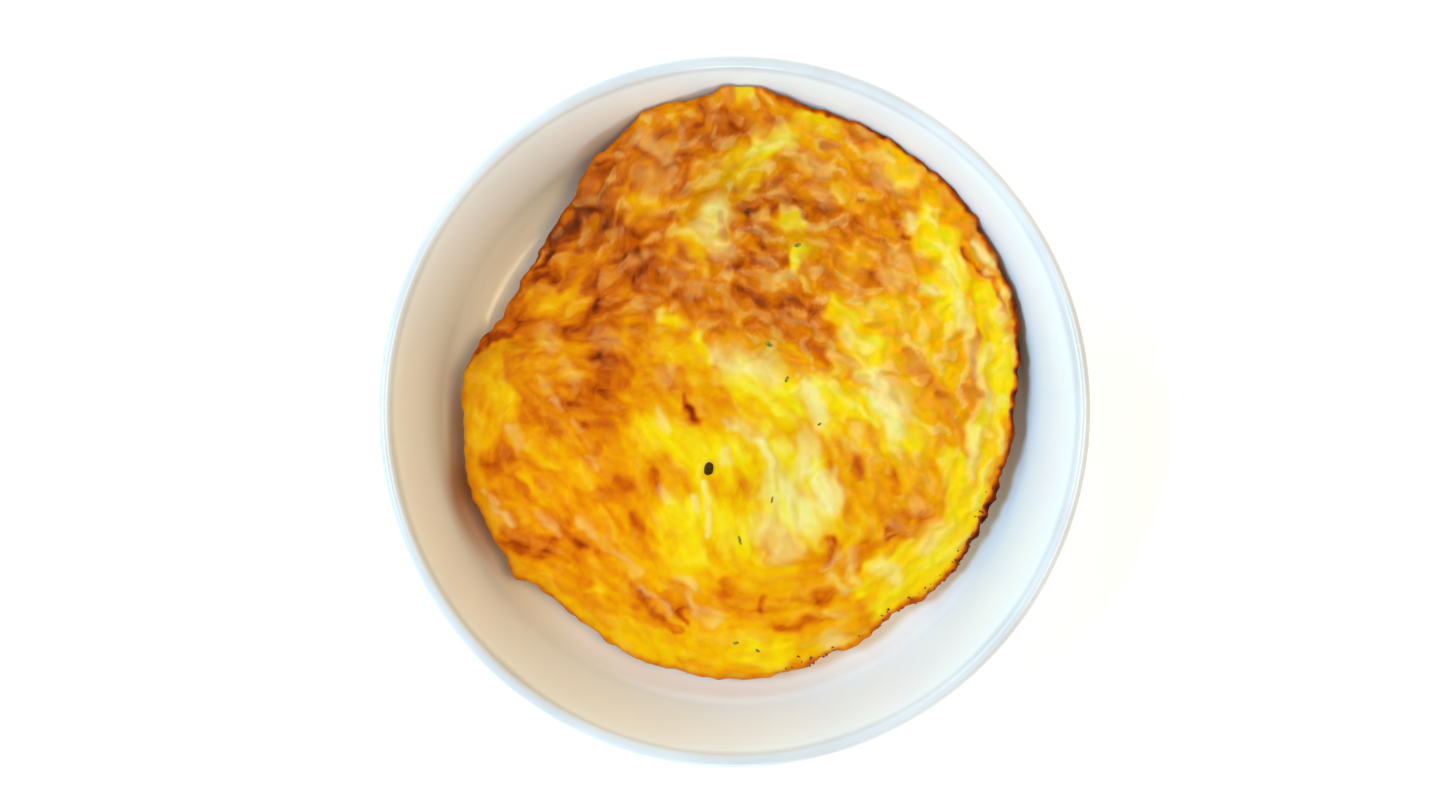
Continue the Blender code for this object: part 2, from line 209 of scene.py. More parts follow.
# Areas and strokes of browning on the top skin, in the order in which they lie on each other.
# Each is a tone, how fully it covers, and capsules: two ends and a radius.
BROWNING = (
    # broad areas
    (RUST, 0.95, (
        (-27, 61, -4, 71, 9), (-34, 52, -16, 52, 9), (-42, 41, -22, 42, 8), (-40, 30, -14, 32, 8),
        (-54, 22, -36, 20, 7), (-34, 14, -24, 12, 6), (-37, 5, -30, 2, 6),
    )),
    (ORANGE, 0.9, (
        (4, 72, 30, 66, 6), (8, 56, 34, 58, 7), (16, 42, 38, 48, 9), (20, 30, 38, 34, 7),
        (-6, 40, 10, 42, 8), (-52, 14, -44, 12, 7), (-12, 24, -10, 20, 5),
    )),
    (RUST, 0.85, (
        (-10, 30, 12, 24, 7), (4, 47, 14, 52, 6), (6, 38, 8, 36, 5), (22, 49, 28, 47, 5),
        (16, 24, 20, 19, 4.5), (-12, 38, 0, 38, 4),
    )),
    (ORANGE, 0.85, (
        (-50, 4, -40, -4, 8), (-60, -12, -50, -18, 7), (-52, -30, -42, -33, 7),
        (-22, -48, -10, -51, 4.2), (-34, -10, -31, -18, 6), (-24, 8, -14, 9, 4.4), (36, 42, 39, 38, 4),
        (-34, 48, -20, 49, 3.5), (-26, 24, -24, 12, 3.5),
    )),
    (AMBER, 0.85, (
        (46, 11, 55, 7, 5), (49, 2, 56, 0, 5), (42, -18, 46, -26, 5.5), (34, -15, 38, -19, 4.6),
        (32, -31, 38, -32, 3.8), (26, -36, 24, -46, 3.6), (0, -48, 20, -50, 5.2), (-44, -10, -38, -18, 6),
        (18, 65, 38, 62, 4), (27, 55, 31, 52, 3.5),
    )),
    (BROWN, 0.8, (
        (-34, 57, -43, 43, 4.5), (-31, 47, -23, 35, 4.5), (-34, 33, -32, 24, 4.6), (-50, 32, -46, 34, 3),
        (-58, 23, -52, 22, 3.5), (-30, 8, -34, 4, 4), (-8, 68, 0, 70, 4), (-33, 60, -27, 62, 3),
        (-35, 40, -31, 42, 2.8),
    )),
    (AMBER, 0.8, (
        (-44, -22, -36, -26, 6), (-36, -40, -26, -46, 6), (-10, 6, -8, -2, 4), (-24, -16, -24, -24, 6),
        (4, -1, 10, -4, 5), (28, 40, 30, 38, 5), (4, -44, 18, -44, 4.6), (30, -11, 30, -14, 4),
        (-22, -3, -26, -6, 4), (-46, 27, -41, 26, 4.5), (-22, 50, -12, 51, 3.2), (-6, 52, 5, 61, 4),
        (22, -12, 26, -18, 4), (-12, -57, 0, -58, 5), (44, 58, 60, 40, 2.4), (-9, 33, -7, 31, 3),
        (-17, 73, -15, 72, 2.6), (-44, -44, -38, -52, 4),
    )),
    (GOLD, 0.85, (
        (-16, 16, -11, 14, 3.8), (5, 62, 8, 63, 3), (38, 62, 43, 58, 3.6), (47, 14, 54, 8, 3),
        (33, 24, 50, 22, 5), (36, 14, 48, 17, 4), (-10, 43, -8, 39, 4), (-4, -38, 0, -36, 5),
        (-26, -56, 30, -58, 5), (24, -22, 26, -30, 4.5), (34, -44, 40, -40, 5), (38, -7, 42, -15, 4.2),
        (44, 3, 48, -8, 4), (-63, -1, -63, -10, 2.6), (-58, 6, -56, 4, 4), (46, 43, 50, 38, 4),
        (26, -6, 31, -8, 2.6), (28, -31, 31, -26, 2.9), (-14, -38, 12, -40, 3.9), (24, -39, 25, -42, 2.4),
        (-6, 49, -4, 44, 3), (-9, -14, -7, -20, 3.2), (25, -49, 29, -48, 2.6),
    )),
    # set yolk, hardly browned
    (LEMON, 0.95, (
        (-19, -5, -12, -9, 5.6), (-15, -25, -10, -34, 5.6), (-6, -24, 2, -30, 6.2), (-6, -12, 2, -10, 5.5),
        (2, 9, 12, 2, 5.5), (14, 4, 24, 4, 5.5), (8, 64, 13, 67, 3.0), (47, 47, 57, 33, 4.2),
        (62, 29, 66, 8, 4.5), (65, 12, 65, 0, 4), (64, 0, 60, -22, 4.2), (55, -12, 54, -26, 3.4),
        (57, -26, 49, -39, 5.6), (51, 30, 56, 24, 5), (36, -48, 48, -42, 4),
        (10, -10, 19, -15, 5.8), (10, -24, 19, -26, 6.2), (30, 19, 33, 13, 3.8), (29, 3, 43, -6, 4.8),
    )),
    (LEMON, 0.85, (
        (-9, 18, -7, 13, 2.0), (-17, 23, -14, 22, 2.2), (16, 39, 15, 35, 1.6), (13, 47, 17, 47, 2.5),
        (24, 25, 28, 22, 2.7), (18, 72, 22, 72, 4), (2, -60, 12, -60, 3.6), (2, 77, 3, 77, 2.4),
        (40, -38, 48, -36, 5), (34, -41, 30, -44, 2.4), (22, 6, 24, -4, 3), (47, 33, 50, 31, 2.4),
        (-9, -14, -8, -18, 1.8),
    )),
    (GOLD, 0.8, (
        (-57, 6, -53, 0, 2.2), (-50, -8, -43, -13, 1.6), (-41, -12, -35, -18, 1.6),
        (-52, -16, -47, -21, 1.2), (-27, -34, -18, -43, 1.3), (-33, -24, -27, -32, 1.2),
        (-46, -22, -40, -27, 1.2), (-40, -38, -33, -45, 1.4), (64, -4, 63, -12, 1.8),
    )),
    # browner spots and strokes
    (RUST, 0.85, (
        (-22, 60, -14, 57, 4), (-2, 22, -4, 22, 3.4), (-24, 20, -23, 19, 2),
        (-14, 30, -11, 27, 2.2), (2, 36, 4, 34, 3), (12, 55, 13, 54, 1.6), (18, 55, 19, 54, 2),
        (17, 28, 20, 27, 2.7), (14, 19, 21, 14, 1.9), (6, 43, 4, 46, 2), (35, 37, 34, 33, 1.5),
        (28, 45, 27, 42, 2.6), (-50, 1, -49, -1, 3), (-60, -12, -56, -10, 3.2), (-46, -3, -44, -6, 2.2),
        (-32, -20, -30, -20, 2.4), (-27, -17, -26, -19, 2.2), (-43, -26, -42, -28, 3.2),
        (-56, -31, -47, -33, 3), (-26, 15, -25, 11, 2.0),
    )),
    (RUST, 0.8, (
        (-39, -30, -33, -34, 1.8), (-38, -36, -37, -42, 2.4), (-23, -44, -22, -46, 2.4),
        (-2, -44, 0, -46, 3), (22, -45, 22, -47, 2.2), (10, -53, 20, -52, 1.5), (7, -46, 7, -49, 1.3),
        (-24, -27, -23, -29, 2), (-20, -16, -19, -17, 2), (43, -25, 47, -25, 1.5), (42, -27, 40, -30, 2),
        (38, -31, 38, -31, 1.5), (38, -15, 39, -19, 2.0), (33, -34, 31, -36, 2), (23, -32, 24, -37, 1.3),
        (30, -13, 31, -16, 1.6), (23, -12, 24, -15, 1.4), (42, 14, 44, 12, 1.6),
        (45, 11, 48, 7, 1.2), (51, 3, 52, 4, 1.4), (59, 20, 59.5, 5, 0.8), (-47, -36, -46, -34, 2),
    )),
    (BROWN, 0.8, (
        (-41, 45, -34, 50, 3), (-1, 70, 2, 69, 2.6), (-2, 74, 0, 70, 1.4), (-6, 65, -1, 68, 1.5),
        (-9, 73, -9, 75, 1.1), (-23, 65, -19, 60, 1.1), (-48, 34, -46, 37, 1.3), (-52, 31, -47, 34, 1.2),
        (-57, 26, -51, 31, 1.4), (3, 51, 9, 52, 1.3), (10, 52, 18, 48.5, 1.0), (4, 50, 4, 44, 1.3),
        (4, 44, 7, 41, 1.3), (24, 45.5, 29, 45.5, 1.4), (39, 49, 40, 46, 1.0), (42, 43, 43, 42, 0.8),
        (32, 44, 36, 42, 0.8), (30, 52, 31, 52, 0.9), (22, 65, 24, 65, 1.0), (57, 40, 63, 32.5, 0.6),
        (63, 32.5, 66, 25, 0.6),
        (-33, 29, -31, 33, 2.4), (-30, 35, -27, 38, 1.2), (-26, 38.5, -22, 39, 1.8), (-30, 25, -26, 26, 1.4),
        (-31, 9, -27, 8, 2.2), (-33, 14, -32, 12, 1.0), (-26, 12, -25, 11, 1.5), (-9, 27, -2, 25, 1.4),
        (-3, 20, -4, 19, 1.4), (0, 30, 3, 29, 2.2), (-2, 34, 0, 35, 1.3), (2, 37, 1, 35, 1.2),
        (10, 26, 12, 25, 1.5), (-12, 1, -10, -2, 1.7), (-12, 3, -11, 1, 1.0), (-39, 2.5, -36, 2, 1.1),
        (-36, -3, -33, -4, 2), (-34, -8, -33, -9, 1.4), (-55, -32, -53, -34, 1.6), (-48, -34, -47, -35, 1.5),
        (-38, -31, -37, -33, 1.1), (-20, -49, -14, -54, 1.2), (-13, -49, -11, -52, 0.9),
        (-22, -44, -21, -45, 1.1), (-4, 47, -3, 43, 1.1),
    )),
    (CHAR, 0.8, (
        (2, 29.6, 3, 29, 1.0), (-43, 43, -36, 50, 2.2), (-11.5, 0.5, -10, -1.5, 0.9),
        (-24, 38.5, -23, 38.5, 1.0), (-61, 18.2, -54, 18.4, 1.3), (-65, 14, -61, 18, 1.1),
        (1, 80, 3, 80, 0.7), (-49, 36, -44, 42, 1.2),
    )),
)

# Set egg white over the yolk, and whitish film over the browning, partly painted sheen: how fully it covers,
# and capsules.
WHITES_AND_SHEEN = (
    (1.15, (
        (36, 4, 41, 2, 3.2), (33, 9, 37, 5, 1.6), (22, -17, 23, -23, 2.4),
        (59, 41.5, 64.5, 35, 0.8), (64.5, 35, 68, 26, 0.8),
    )),
    (0.8, (
        (-5, 49, -4, 46, 2.6),
        (0, 12, 8, 10, 3.6), (-4, 14, 0, 12, 2.2), (8, 14, 10, 16, 1.6), (18, 7, 22, -2, 2.4),
        (18, -8, 18, -14, 3), (12, -20, 18, -26, 5.5), (8, -29, 12, -34, 4), (24, -16, 25, -23, 2.2),
        (36, 3, 42, 1, 3.4), (38, -2, 40, -4, 2.6), (32, 10, 37, 5, 2.2), (36, 10, 37, 7, 1.6),
    )),
    (0.65, (
        (-5, 50, -3, 48, 3.0), (-8, 46, -6, 43, 2.6), (-4, 42, -2, 39, 2.4),
        (46, 31, 49, 30, 1.5), (43, 47, 44, 45, 1.6), (10, 33, 14, 33, 1.8), (52, 37, 53, 33, 1.8),
        (55, 28, 62, 2, 1.5), (-1, -3, 6, -6, 1.6), (6, -6, 10, -14, 1.3), (10, -14, 10, -20, 1.1),
        (-7, -18, -6, -24, 1.0), (-6, -25, -6, -31, 1.0), (-10, -22, -10, -24, 1.0),
        (-3, -11, -2, -12, 1.8), (40, -40, 38, -38, 2.6), (23, 46, 20, 46, 1.5),
        (24, -57, 26, -56, 2.5), (60, -4, 58, -14, 1.6), (-62, -19, -58, -23, 0.7),
        (-59, -24, -55, -28, 0.6),
    )),
    (0.45, (
        (-22, 67, -17, 63, 2.6), (-17, 61, -16, 56, 1.6), (17, 61, 22, 59, 2.6), (38, 39, 41, 37, 2.4),
        (-18, 1, -17, -4, 1.2), (36, 58, 40, 54, 1.6), (-40, -2, -37, -5, 0.8), (-13, -41, -10, -43, 1.2),
        (9, 65, 12, 66, 2.6), (50, -29, 48, -33, 3.0), (24, -41, 26, -44, 1.8), (28, 20, 32, 17, 2.0),
        (24, 14, 28, 12, 1.3), (28, 12, 34, 9, 1.1), (34, 7, 38, 4, 1.2), (38, 4, 43, 3, 1.3),
        (9, 15, 8, 12, 1.2), (28, 19, 29, 17, 1.8), (38, 34, 39, 31, 2.2), (-24, 26, -22, 25, 1.4),
        (-35, -11, -33, -14, 0.9), (-18, -18, -15, -22, 0.9), (24, -16, 25, -22, 1.6), (-45, 4, -42, 1, 0.9),
        (-22, -43, -16, -49, 1.0), (-12, -46, -5, -51, 1.5), (18, -9, 18, -13, 2.4), (25, -35, 24, -38, 1.4),
        (29, -36, 30, -40, 2), (24, 15, 24, 16, 1), (41, 1, 43, -2, 2), (-54, -4, -52, -8, 1.6),
        (-60, -22, -56, -27, 0.9), (-48, -26, -43, -30, 0.9), (-38, -26, -34, -30, 0.8),
    )),
    (0.3, (
        (-5, 50, -3, 47, 3), (-4, 41, -2, 39, 2), (44, 16, 45, 12, 2), (36, 60, 36, 56, 2.5),
        (-20, 66, -16, 57, 2.0), (-22, 58, -17, 56, 2.5), (-5, 73, -4, 71, 1.6), (-13, 70, -12, 66, 1.2),
        (6, 48, 6, 45, 1.4), (-16, 10, -17, 8, 2.2), (-33, 18, -31, 17, 2.6), (-46, 20, -45, 17, 2.4),
        (-41, 12, -39, 6, 1.2), (-47, 7, -46, 6, 1.3), (-32, -31, -24, -40, 1.1), (15, -24, 17, -26, 3),
        (41, -28, 40, -29, 1.6), (45, -22, 46, -23, 2.2), (30, -5, 30, -9, 1.2), (-9, 29, -8, 30, 1.4),
        (-3, 27, -1, 26, 1), (10, 24, 20, 19.5, 0.9), (-7, 34, -7, 33, 1.3), (-14, 33, -15, 34, 1.6),
        (20, 41, 22, 40, 1.4), (7, 38, 8, 36, 1.4), (34, 27, 34, 25, 1.2), (10, 56, 13, 52, 1.2),
        (20, 54, 22, 50, 1.4), (24, -50, 26, -51, 1.4), (11, -8, 13, -9, 2),
    )),
)

# Where the egg is greener than elsewhere, or oranger where negative: strength, middle and reach.
# The duller, greener yellow in and beside the upper folds is painted shade.
GREENER_AND_FOLD_SHADE = (
    (0.8, 0, 57, 7), (0.3, 10, 65, 6), (0.4, -6, 48, 6), (0.8, 16, 40, 5), (0.4, 14, 48, 4),
    (0.5, -36, 49, 8), (0.6, 8, 15, 4), (0.4, 12, -18, 10), (0.4, 16, 0, 5), (0.4, -60, 10, 8),
    (-0.5, -38, -22, 18), (-0.2, -20, -40, 14), (-0.2, -2, -50, 12), (0.3, 5, 50, 28),
)

# Direction in degrees in which the skin's grain runs at places on the top.
GRAIN = (
    (-20, 68, 25), (0, 74, -60), (-12, 58, 25), (6, 62, 30), (20, 68, -20), (35, 62, -40),
    (48, 50, -50), (58, 36, -60), (65, 18, -78), (66, -2, -95), (60, -22, -112), (50, -36, -135),
    (-38, 44, 50), (-48, 30, 50), (-30, 34, 45), (-46, 14, 0), (-60, 5, 85), (-64, -10, 95),
    (-58, -22, -50), (-45, -2, -45), (-36, -12, -50), (-30, -30, -48), (-50, -30, -20),
    (-20, -42, -48), (-15, -52, -42), (-30, -50, -35), (-5, -22, -80), (-15, -25, -65),
    (8, -12, -60), (10, -22, -85), (18, -10, -75), (20, -22, -60), (0, 28, -25), (15, 20, -28),
    (-15, 28, -30), (5, 44, -15), (20, 50, -20), (30, 38, -30), (45, 36, -40), (38, 10, -38),
    (28, 10, -35), (46, 2, -50), (52, 18, 60), (38, -8, -62), (42, -22, -55), (30, -20, -75),
    (48, -30, 50), (35, -40, 30), (20, -46, 10), (5, -52, 5), (20, -56, 12), (0, -62, 0),
    (-8, 14, -50), (4, 10, -40), (8, 0, -35), (-12, -4, -45), (22, 2, -55),
)

# The side's tone where nothing else is said, and browner stretches: direction, half-width, tone.
SIDE_TONE = 0.55
SIDE_ARCS = (
    (60.0, 34.0, 0.88),
    (10.0, 34.0, 0.93),
    (332.0, 20.0, 0.97),
    (305.0, 6.0, 0.8),
    (286.0, 6.0, 0.66),
    (140.0, 22.0, 0.84),
    (170.0, 6.0, 0.85),
    (190.0, 14.0, 0.5),
    (215.0, 14.0, 0.6),
)
# How far the crisp edge stands out beyond the brow: direction, half-width, reach.
CRISP_ARCS = (
    (70.0, 14.0, 0.4),
    (20.0, 30.0, 0.7),
    (335.0, 18.0, 0.9),
    (303.0, 14.0, 0.8),
    (150.0, 16.0, 0.5),
)
# How thickly crumbs lie along that edge: direction, half-width, share of the full number.
CRUMB_ARCS = (
    (325.0, 10.0, 1.0),
    (305.0, 9.0, 0.8),
    (285.0, 9.0, 0.35),
)
CRUMBS_PER_SQUARE_METRE = 700000.0
CRUMB_RADII = (0.2, 0.6)
CRUMB_SEED = 11
# Painted shade on the dish beside the egg, a warm brown shadow and reflection of the egg:
# direction, half-width, strength; and how far out it goes, with a bulge: direction, half-width, push.
GAP_SHADE_ARCS = (
    (206.0, 10.0, 0.5),
    (182.0, 7.0, 0.5),
    (195.0, 9.0, 0.85),
    (0.0, 22.0, 0.35),
    (50.0, 20.0, 0.2),
    (145.0, 14.0, 0.12),
    (266.0, 30.0, 0.22),
)
GAP_SHADE_RADIUS = 71.4
GAP_SHADE_BULGE = (199.0, 13.0, 2.0)
GAP_SHADE_FADE = 2.0

# Flecks of chopped herb: place, length, width, turn in degrees.
HERB_FLECKS = (
    (15.5, 40.5, 1.5, 0.9, 20),
    (8.5, 16.5, 2.0, 1.0, -30),
    (13.0, 8.0, 1.6, 0.8, 60),
    (9.4, -21.5, 1.8, 0.5, 80),
    (1.5, -31.5, 3.0, 0.7, -75),
    (21.0, -3.0, 1.1, 0.6, 35),
    (0.5, -57.0, 1.6, 0.9, 10),
    (6.0, -59.0, 1.2, 0.7, -40),
)
# The one dark speck, given in the same way.
SPECK = (-6.2, -14.0, 3.0, 2.3, 80)
FLECK_DROP_HEIGHT = 60.0    # from which flecks are dropped on the skin
FLECK_LIFT = 0.12           # share of its thickness by which a fleck's middle lies above the skin
FLECK_SEED = 3
LUMP_WAVES = 5              # waves that make a fleck or speck uneven
LUMP_WAVE_RATE = 1.6

# The stage, the lamps and the camera.
FLOOR_HALF_WIDTH = 2500.0
LAMP_AIM = (0.0, 0.0, 20.0)
LAMP_WIDTH = 600.0
CAMERA_TARGET = (-3.4, 1.2, 40.0)
CAMERA_DISTANCE = 550.0
CAMERA_ELEVATION = 88.5
DISH_WIDTH_IN_PHOTO = 715.0     # pixels of the 1440 across the photo
PHOTO_WIDTH = 1440.0
SENSOR_WIDTH = 36.0


# ================================================================ noise and grain
def perlin(x, y, size, seed):
    """Smooth noise from about -1 to 1 with features about as wide as the size."""
    columns, rows = NOISE_TABLE
    turns = np.random.default_rng(seed).uniform(0.0, math.tau, NOISE_TABLE)
    column, row = np.floor(x / size).astype(int), np.floor(y / size).astype(int)
    u, v = x / size - column, y / size - row
    ease_u = u ** 3 * (u * (u * 6 - 15) + 10)
    ease_v = v ** 3 * (v * (v * 6 - 15) + 10)

    def corner(i, j):
        turn = turns[(column + i) % columns, (row + j) % rows]
        return np.cos(turn) * (u - i) + np.sin(turn) * (v - j)

    low = corner(0, 0) * (1 - ease_u) + corner(1, 0) * ease_u
    high = corner(0, 1) * (1 - ease_u) + corner(1, 1) * ease_u
    return 1.5 * (low * (1 - ease_v) + high * ease_v)


def layered(x, y, size, layers, seed):
    """Noise with finer noise added to it."""
    return sum(perlin(x, y, size / 2 ** k, seed + k) / 2 ** k for k in range(layers))


def grain_direction(x, y):
    """Unit vector along the grain, blended from the places in GRAIN."""
    across = np.zeros_like(x)
    along = np.zeros_like(x)
    for gx, gy, degrees in GRAIN:
        weight = 1.0 / ((x - gx) ** 2 + (y - gy) ** 2 + 9.0) ** 2
        across += weight * math.cos(2 * math.radians(degrees))
        along += weight * math.sin(2 * math.radians(degrees))
    turn = 0.5 * np.arctan2(along, across)
    return np.cos(turn), np.sin(turn)


def follow_grain(x, y, length, steps):
    """Places along the grain to both sides of each point."""
    places = [(x, y)]
    first = grain_direction(x, y)
    for sense in (1.0, -1.0):
        px, py = x, y
        dx, dy = sense * first[0], sense * first[1]
        for _ in range(steps):
            px = px + dx * length / (2 * steps)
            py = py + dy * length / (2 * steps)
            places.append((px, py))
            gx, gy = grain_direction(px, py)
            flip = np.where(gx * dx + gy * dy < 0.0, -1.0, 1.0)
            dx, dy = gx * flip, gy * flip
    return places


def streaks(x, y, drawn, kind):
    """Noise drawn out along the grain, with a spread of 1."""
    length, longer, steps, width, seed = kind
    places = follow_grain(x, y, length + longer * drawn, steps)
    total = sum(perlin(px, py, width, seed) for px, py in places)
    return total / total.std()


def patches(x, y, grain, drawn, kind):
    """Soft-edged patches drawn out along the grain: each place's own value from -1 to 1, its
    distance to the nearest patch's middle, and its distance from a seam, in steps of the size."""
    size, length, longer, seed = kind
    stretch = length + longer * drawn
    columns, rows = PATCH_TABLE
    rng = np.random.default_rng(seed)
    jitter = rng.uniform(0.1, 0.9, (columns, rows, 2))
    own = rng.uniform(-1.0, 1.0, PATCH_TABLE)
    column, row = np.floor(x / size).astype(int), np.floor(y / size).astype(int)
    near = np.full(x.shape, np.inf)
    second = np.full(x.shape, np.inf)
    total = np.zeros(x.shape)
    weights = np.zeros(x.shape)
    for i in range(-2, 3):
        for j in range(-2, 3):
            cell = (column + i) % columns, (row + j) % rows
            dx = column + i + jitter[cell][..., 0] - x / size
            dy = row + j + jitter[cell][..., 1] - y / size
            away = np.hypot((dx * grain[0] + dy * grain[1]) / stretch, dx * grain[1] - dy * grain[0])
            weight = np.exp(-PATCH_SHARPNESS * away)
            total += weight * own[cell]
            weights += weight
            second = np.minimum(second, np.maximum(near, away))
            near = np.minimum(near, away)
    return total / weights, near, second - near


# ================================================================ shapes that the solids also have
def bump(offset, width):
    """Bell curve of height 1."""
    return np.exp(-((offset / width) ** 2))


def turn_between(angle, direction):
    """Signed difference of two directions in degrees, from -180 to 180."""
    return (angle - direction + 180.0) % 360.0 - 180.0


def smooth_step(edge, width, value):
    """0 below the edge, 1 above it, with a soft change over the width."""
    t = np.clip((value - edge) / width + 0.5, 0.0, 1.0)
    return t * t * (3.0 - 2.0 * t)


def soft_min(a, b, softness):
    """Smaller of two values, with the corner between them rounded."""
    blend = np.clip(0.5 + 0.5 * (b - a) / softness, 0.0, 1.0)
    return b + (a - b) * blend - softness * blend * (1.0 - blend)


def arcs_value(angle, arcs, plain):
    """Value in a direction in degrees, drawn towards each arc's value near that arc."""
    value = np.full(angle.shape, plain)
    for at, width, goal in arcs:
        value = value + (goal - value) * bump(turn_between(angle, at), width)
    return value


def inner_wall_line(z):
    """Radius of the straight inner wall."""
    return DISH_RADIUS - WALL_THICKNESS - (DISH_HEIGHT - z) * math.tan(WALL_LEAN)


def fillet_centre_radius():
    """Distance from the axis to the centre of the inner fillet."""
    return inner_wall_line(FLOOR_HEIGHT + FLOOR_FILLET) - FLOOR_FILLET / math.cos(WALL_LEAN)


def hollow_radius(z):
    """Inner radius of the dish at height z, up to its lip."""
    below = np.clip((FLOOR_HEIGHT + FLOOR_FILLET - z) / FLOOR_FILLET, 0.0, 1.0)
    on_fillet = fillet_centre_radius() + FLOOR_FILLET * np.sqrt(1.0 - below ** 2)
    fillet_end = FLOOR_HEIGHT + FLOOR_FILLET * (1.0 - math.sin(WALL_LEAN))
    return np.where(z < fillet_end, on_fillet, inner_wall_line(z))


def hollow_height(r):
    """Height of the dish's inner surface at radius r."""
    run = np.maximum(r - fillet_centre_radius(), 0.0)
    fillet_run = np.minimum(run, FLOOR_FILLET * math.cos(WALL_LEAN))
    fillet_rise = FLOOR_FILLET - np.sqrt(FLOOR_FILLET ** 2 - fillet_run ** 2)
    return FLOOR_HEIGHT + fillet_rise + (run - fillet_run) / math.tan(WALL_LEAN)


def outline_radius(angle):
    """Distance from the egg's middle to its edge in a direction in degrees."""
    radius = EGG_RADIUS + sum(push * bump(turn_between(angle, at), width) for at, width, push in LOBES)
    at, width, push = TEAR_NOTCH
    away = np.minimum(np.abs(turn_between(angle, TEAR_DIRECTION)), TEAR_REACH)
    tear = TEAR_DISTANCE / np.cos(np.radians(away))
    torn = soft_min(radius, tear, TEAR_CORNER) + push * bump(turn_between(angle, at), width)
    whole = radius - SHOULDER_DIP * bump(turn_between(angle, TEAR_END), SHOULDER_DIP_WIDTH)
    lower_layer = smooth_step(TEAR_END, TEAR_END_WIDTH, angle % 360.0)
    return torn + (whole - torn) * lower_layer


def nearest_on_line(x, y, x0, y0, x1, y1):
    """Share of a straight line passed at the point nearest to each place, and the distance to it.
    The line's two ends may be one and the same."""
    dx, dy = x1 - x0, y1 - y0
    length = dx * dx + dy * dy
    along = np.clip(((x - x0) * dx + (y - y0) * dy) / length, 0.0, 1.0) if length > 0.0 else 0.0
    return along, np.hypot(x - x0 - along * dx, y - y0 - along * dy)


def follow_route(x, y, route):
    """Signed distance to a route, positive to the right of its direction, and the share of
    its runs passed at the nearest point."""
    best = np.full(x.shape, np.inf)
    signed = np.zeros(x.shape)
    passed = np.zeros(x.shape)
    for run, ((x0, y0), (x1, y1)) in enumerate(zip(route[:-1], route[1:])):
        along, away = nearest_on_line(x, y, x0, y0, x1, y1)
        side = np.sign((x - x0) * (y1 - y0) - (y - y0) * (x1 - x0))
        closer = away < best
        best = np.where(closer, away, best)
        signed = np.where(closer, side * away, signed)
        passed = np.where(closer, (run + along) / (len(route) - 1), passed)
    return signed, passed


def fold_height(x, y, route, valley, roll, width, reach):
    """Height change beside a fold: a narrow valley, and a roll that dies away on one side."""
    off, passed = follow_route(x, y, route)
    rolled = np.exp(-np.maximum(off, 0.0) / reach) * smooth_step(width, 2.0 * width, off)
    fade = 1.0 - smooth_step(FOLD_FADE_MIDDLE, FOLD_FADE_LENGTH, passed)
    return fade * (roll * rolled - valley * bump(off, width))


def top_skin(x, y):
    """Height of the egg's top, away from its rounded edge."""
    height = TOP_HEIGHT + TOP_SLOPE * y + CROWN * bump(np.hypot(x, y), CROWN_REACH)
    height = height + sum(rise * bump(np.hypot(x - cx, y - cy), size) for cx, cy, size, rise in SWELLS)
    return height + sum(fold_height(x, y, *fold) for fold in FOLDS)


def shape_egg(unit):
    """Turn points of a unit sphere into the egg's surface, in millimetres."""
    angle = np.degrees(np.arctan2(unit[:, 1], unit[:, 0]))
    spread = np.hypot(unit[:, 0], unit[:, 1])
    reach = outline_radius(angle) * spread
    x = EGG_CENTRE[0] + reach * np.cos(np.radians(angle))
    y = EGG_CENTRE[1] + reach * np.sin(np.radians(angle))
    lift = sum(rise * bump(turn_between(angle, at), width) for at, width, rise in EDGE_LIFTS) * spread ** 4
    top = top_skin(x, y) + lift
    brow = BROW_HEIGHT + BROW_SLOPE * y + lift
    under = np.maximum(top - EGG_THICKNESS, hollow_height(np.hypot(x, y) + GAP) + GAP)
    under = np.minimum(under, brow)
    rounding = np.abs(unit[:, 2]) ** EDGE_FULLNESS
    z = np.where(unit[:, 2] > 0.0, brow + (top - brow) * rounding, brow + (under - brow) * rounding)
    return np.stack((x, y, z), axis=1)


# ================================================================ materials
def linear(code):
    """Linear colour of an sRGB hex value."""
    parts = [int(code[i:i + 2], 16) / 255.0 for i in (0, 2, 4)]
    return [p / 12.92 if p <= 0.04045 else ((p + 0.055) / 1.055) ** 2.4 for p in parts] + [1.0]


def add(tree, kind, settings=None, inputs=None):
    """Add a node with its options, and its inputs as values or links."""
    item = tree.nodes.new(kind)
    for name, value in (settings or {}).items():
        setattr(item, name, value)
    for name, value in (inputs or {}).items():
        if isinstance(value, bpy.types.NodeSocket):
            tree.links.new(value, item.inputs[name])
        else:
            item.inputs[name].default_value = value
    return item


def stored(tree, name):
    """Number stored on the mesh's points under this name."""
    return add(tree, "ShaderNodeAttribute", {"attribute_name": name}).outputs["Fac"]


def noise(tree, place, width, detail, roughness=0.5):
    """Uneven pattern with features of this width in millimetres."""
    return add(tree, "ShaderNodeTexNoise", inputs={
        "Vector": place, "Scale": 1.0 / (width * MM), "Detail": detail,
        "Roughness": roughness}).outputs["Fac"]


def times_plus(tree, value, times, plus):
    """A value times the second, plus the third."""
    return add(tree, "ShaderNodeMath", {"operation": "MULTIPLY_ADD"},
               {0: value, 1: times, 2: plus}).outputs[0]


def spread_out(tree, value, low, high, to_low=0.0, to_high=1.0):
    """A value from one range brought to another, and held within it."""
    return add(tree, "ShaderNodeMapRange", inputs={
        "Value": value, "From Min": low, "From Max": high, "To Min": to_low,
        "To Max": to_high}).outputs["Result"]


def ramp(tree, share, stops):
    """Colour for a share, from stops of a place and an sRGB hex value."""
    item = add(tree, "ShaderNodeValToRGB", inputs={"Fac": share})
    for number, (place, code) in enumerate(stops):
        elements = item.color_ramp.elements
        stop = elements[number] if number < 2 else elements.new(place)
        stop.position = place
        stop.color = linear(code)
    return item.outputs["Color"]


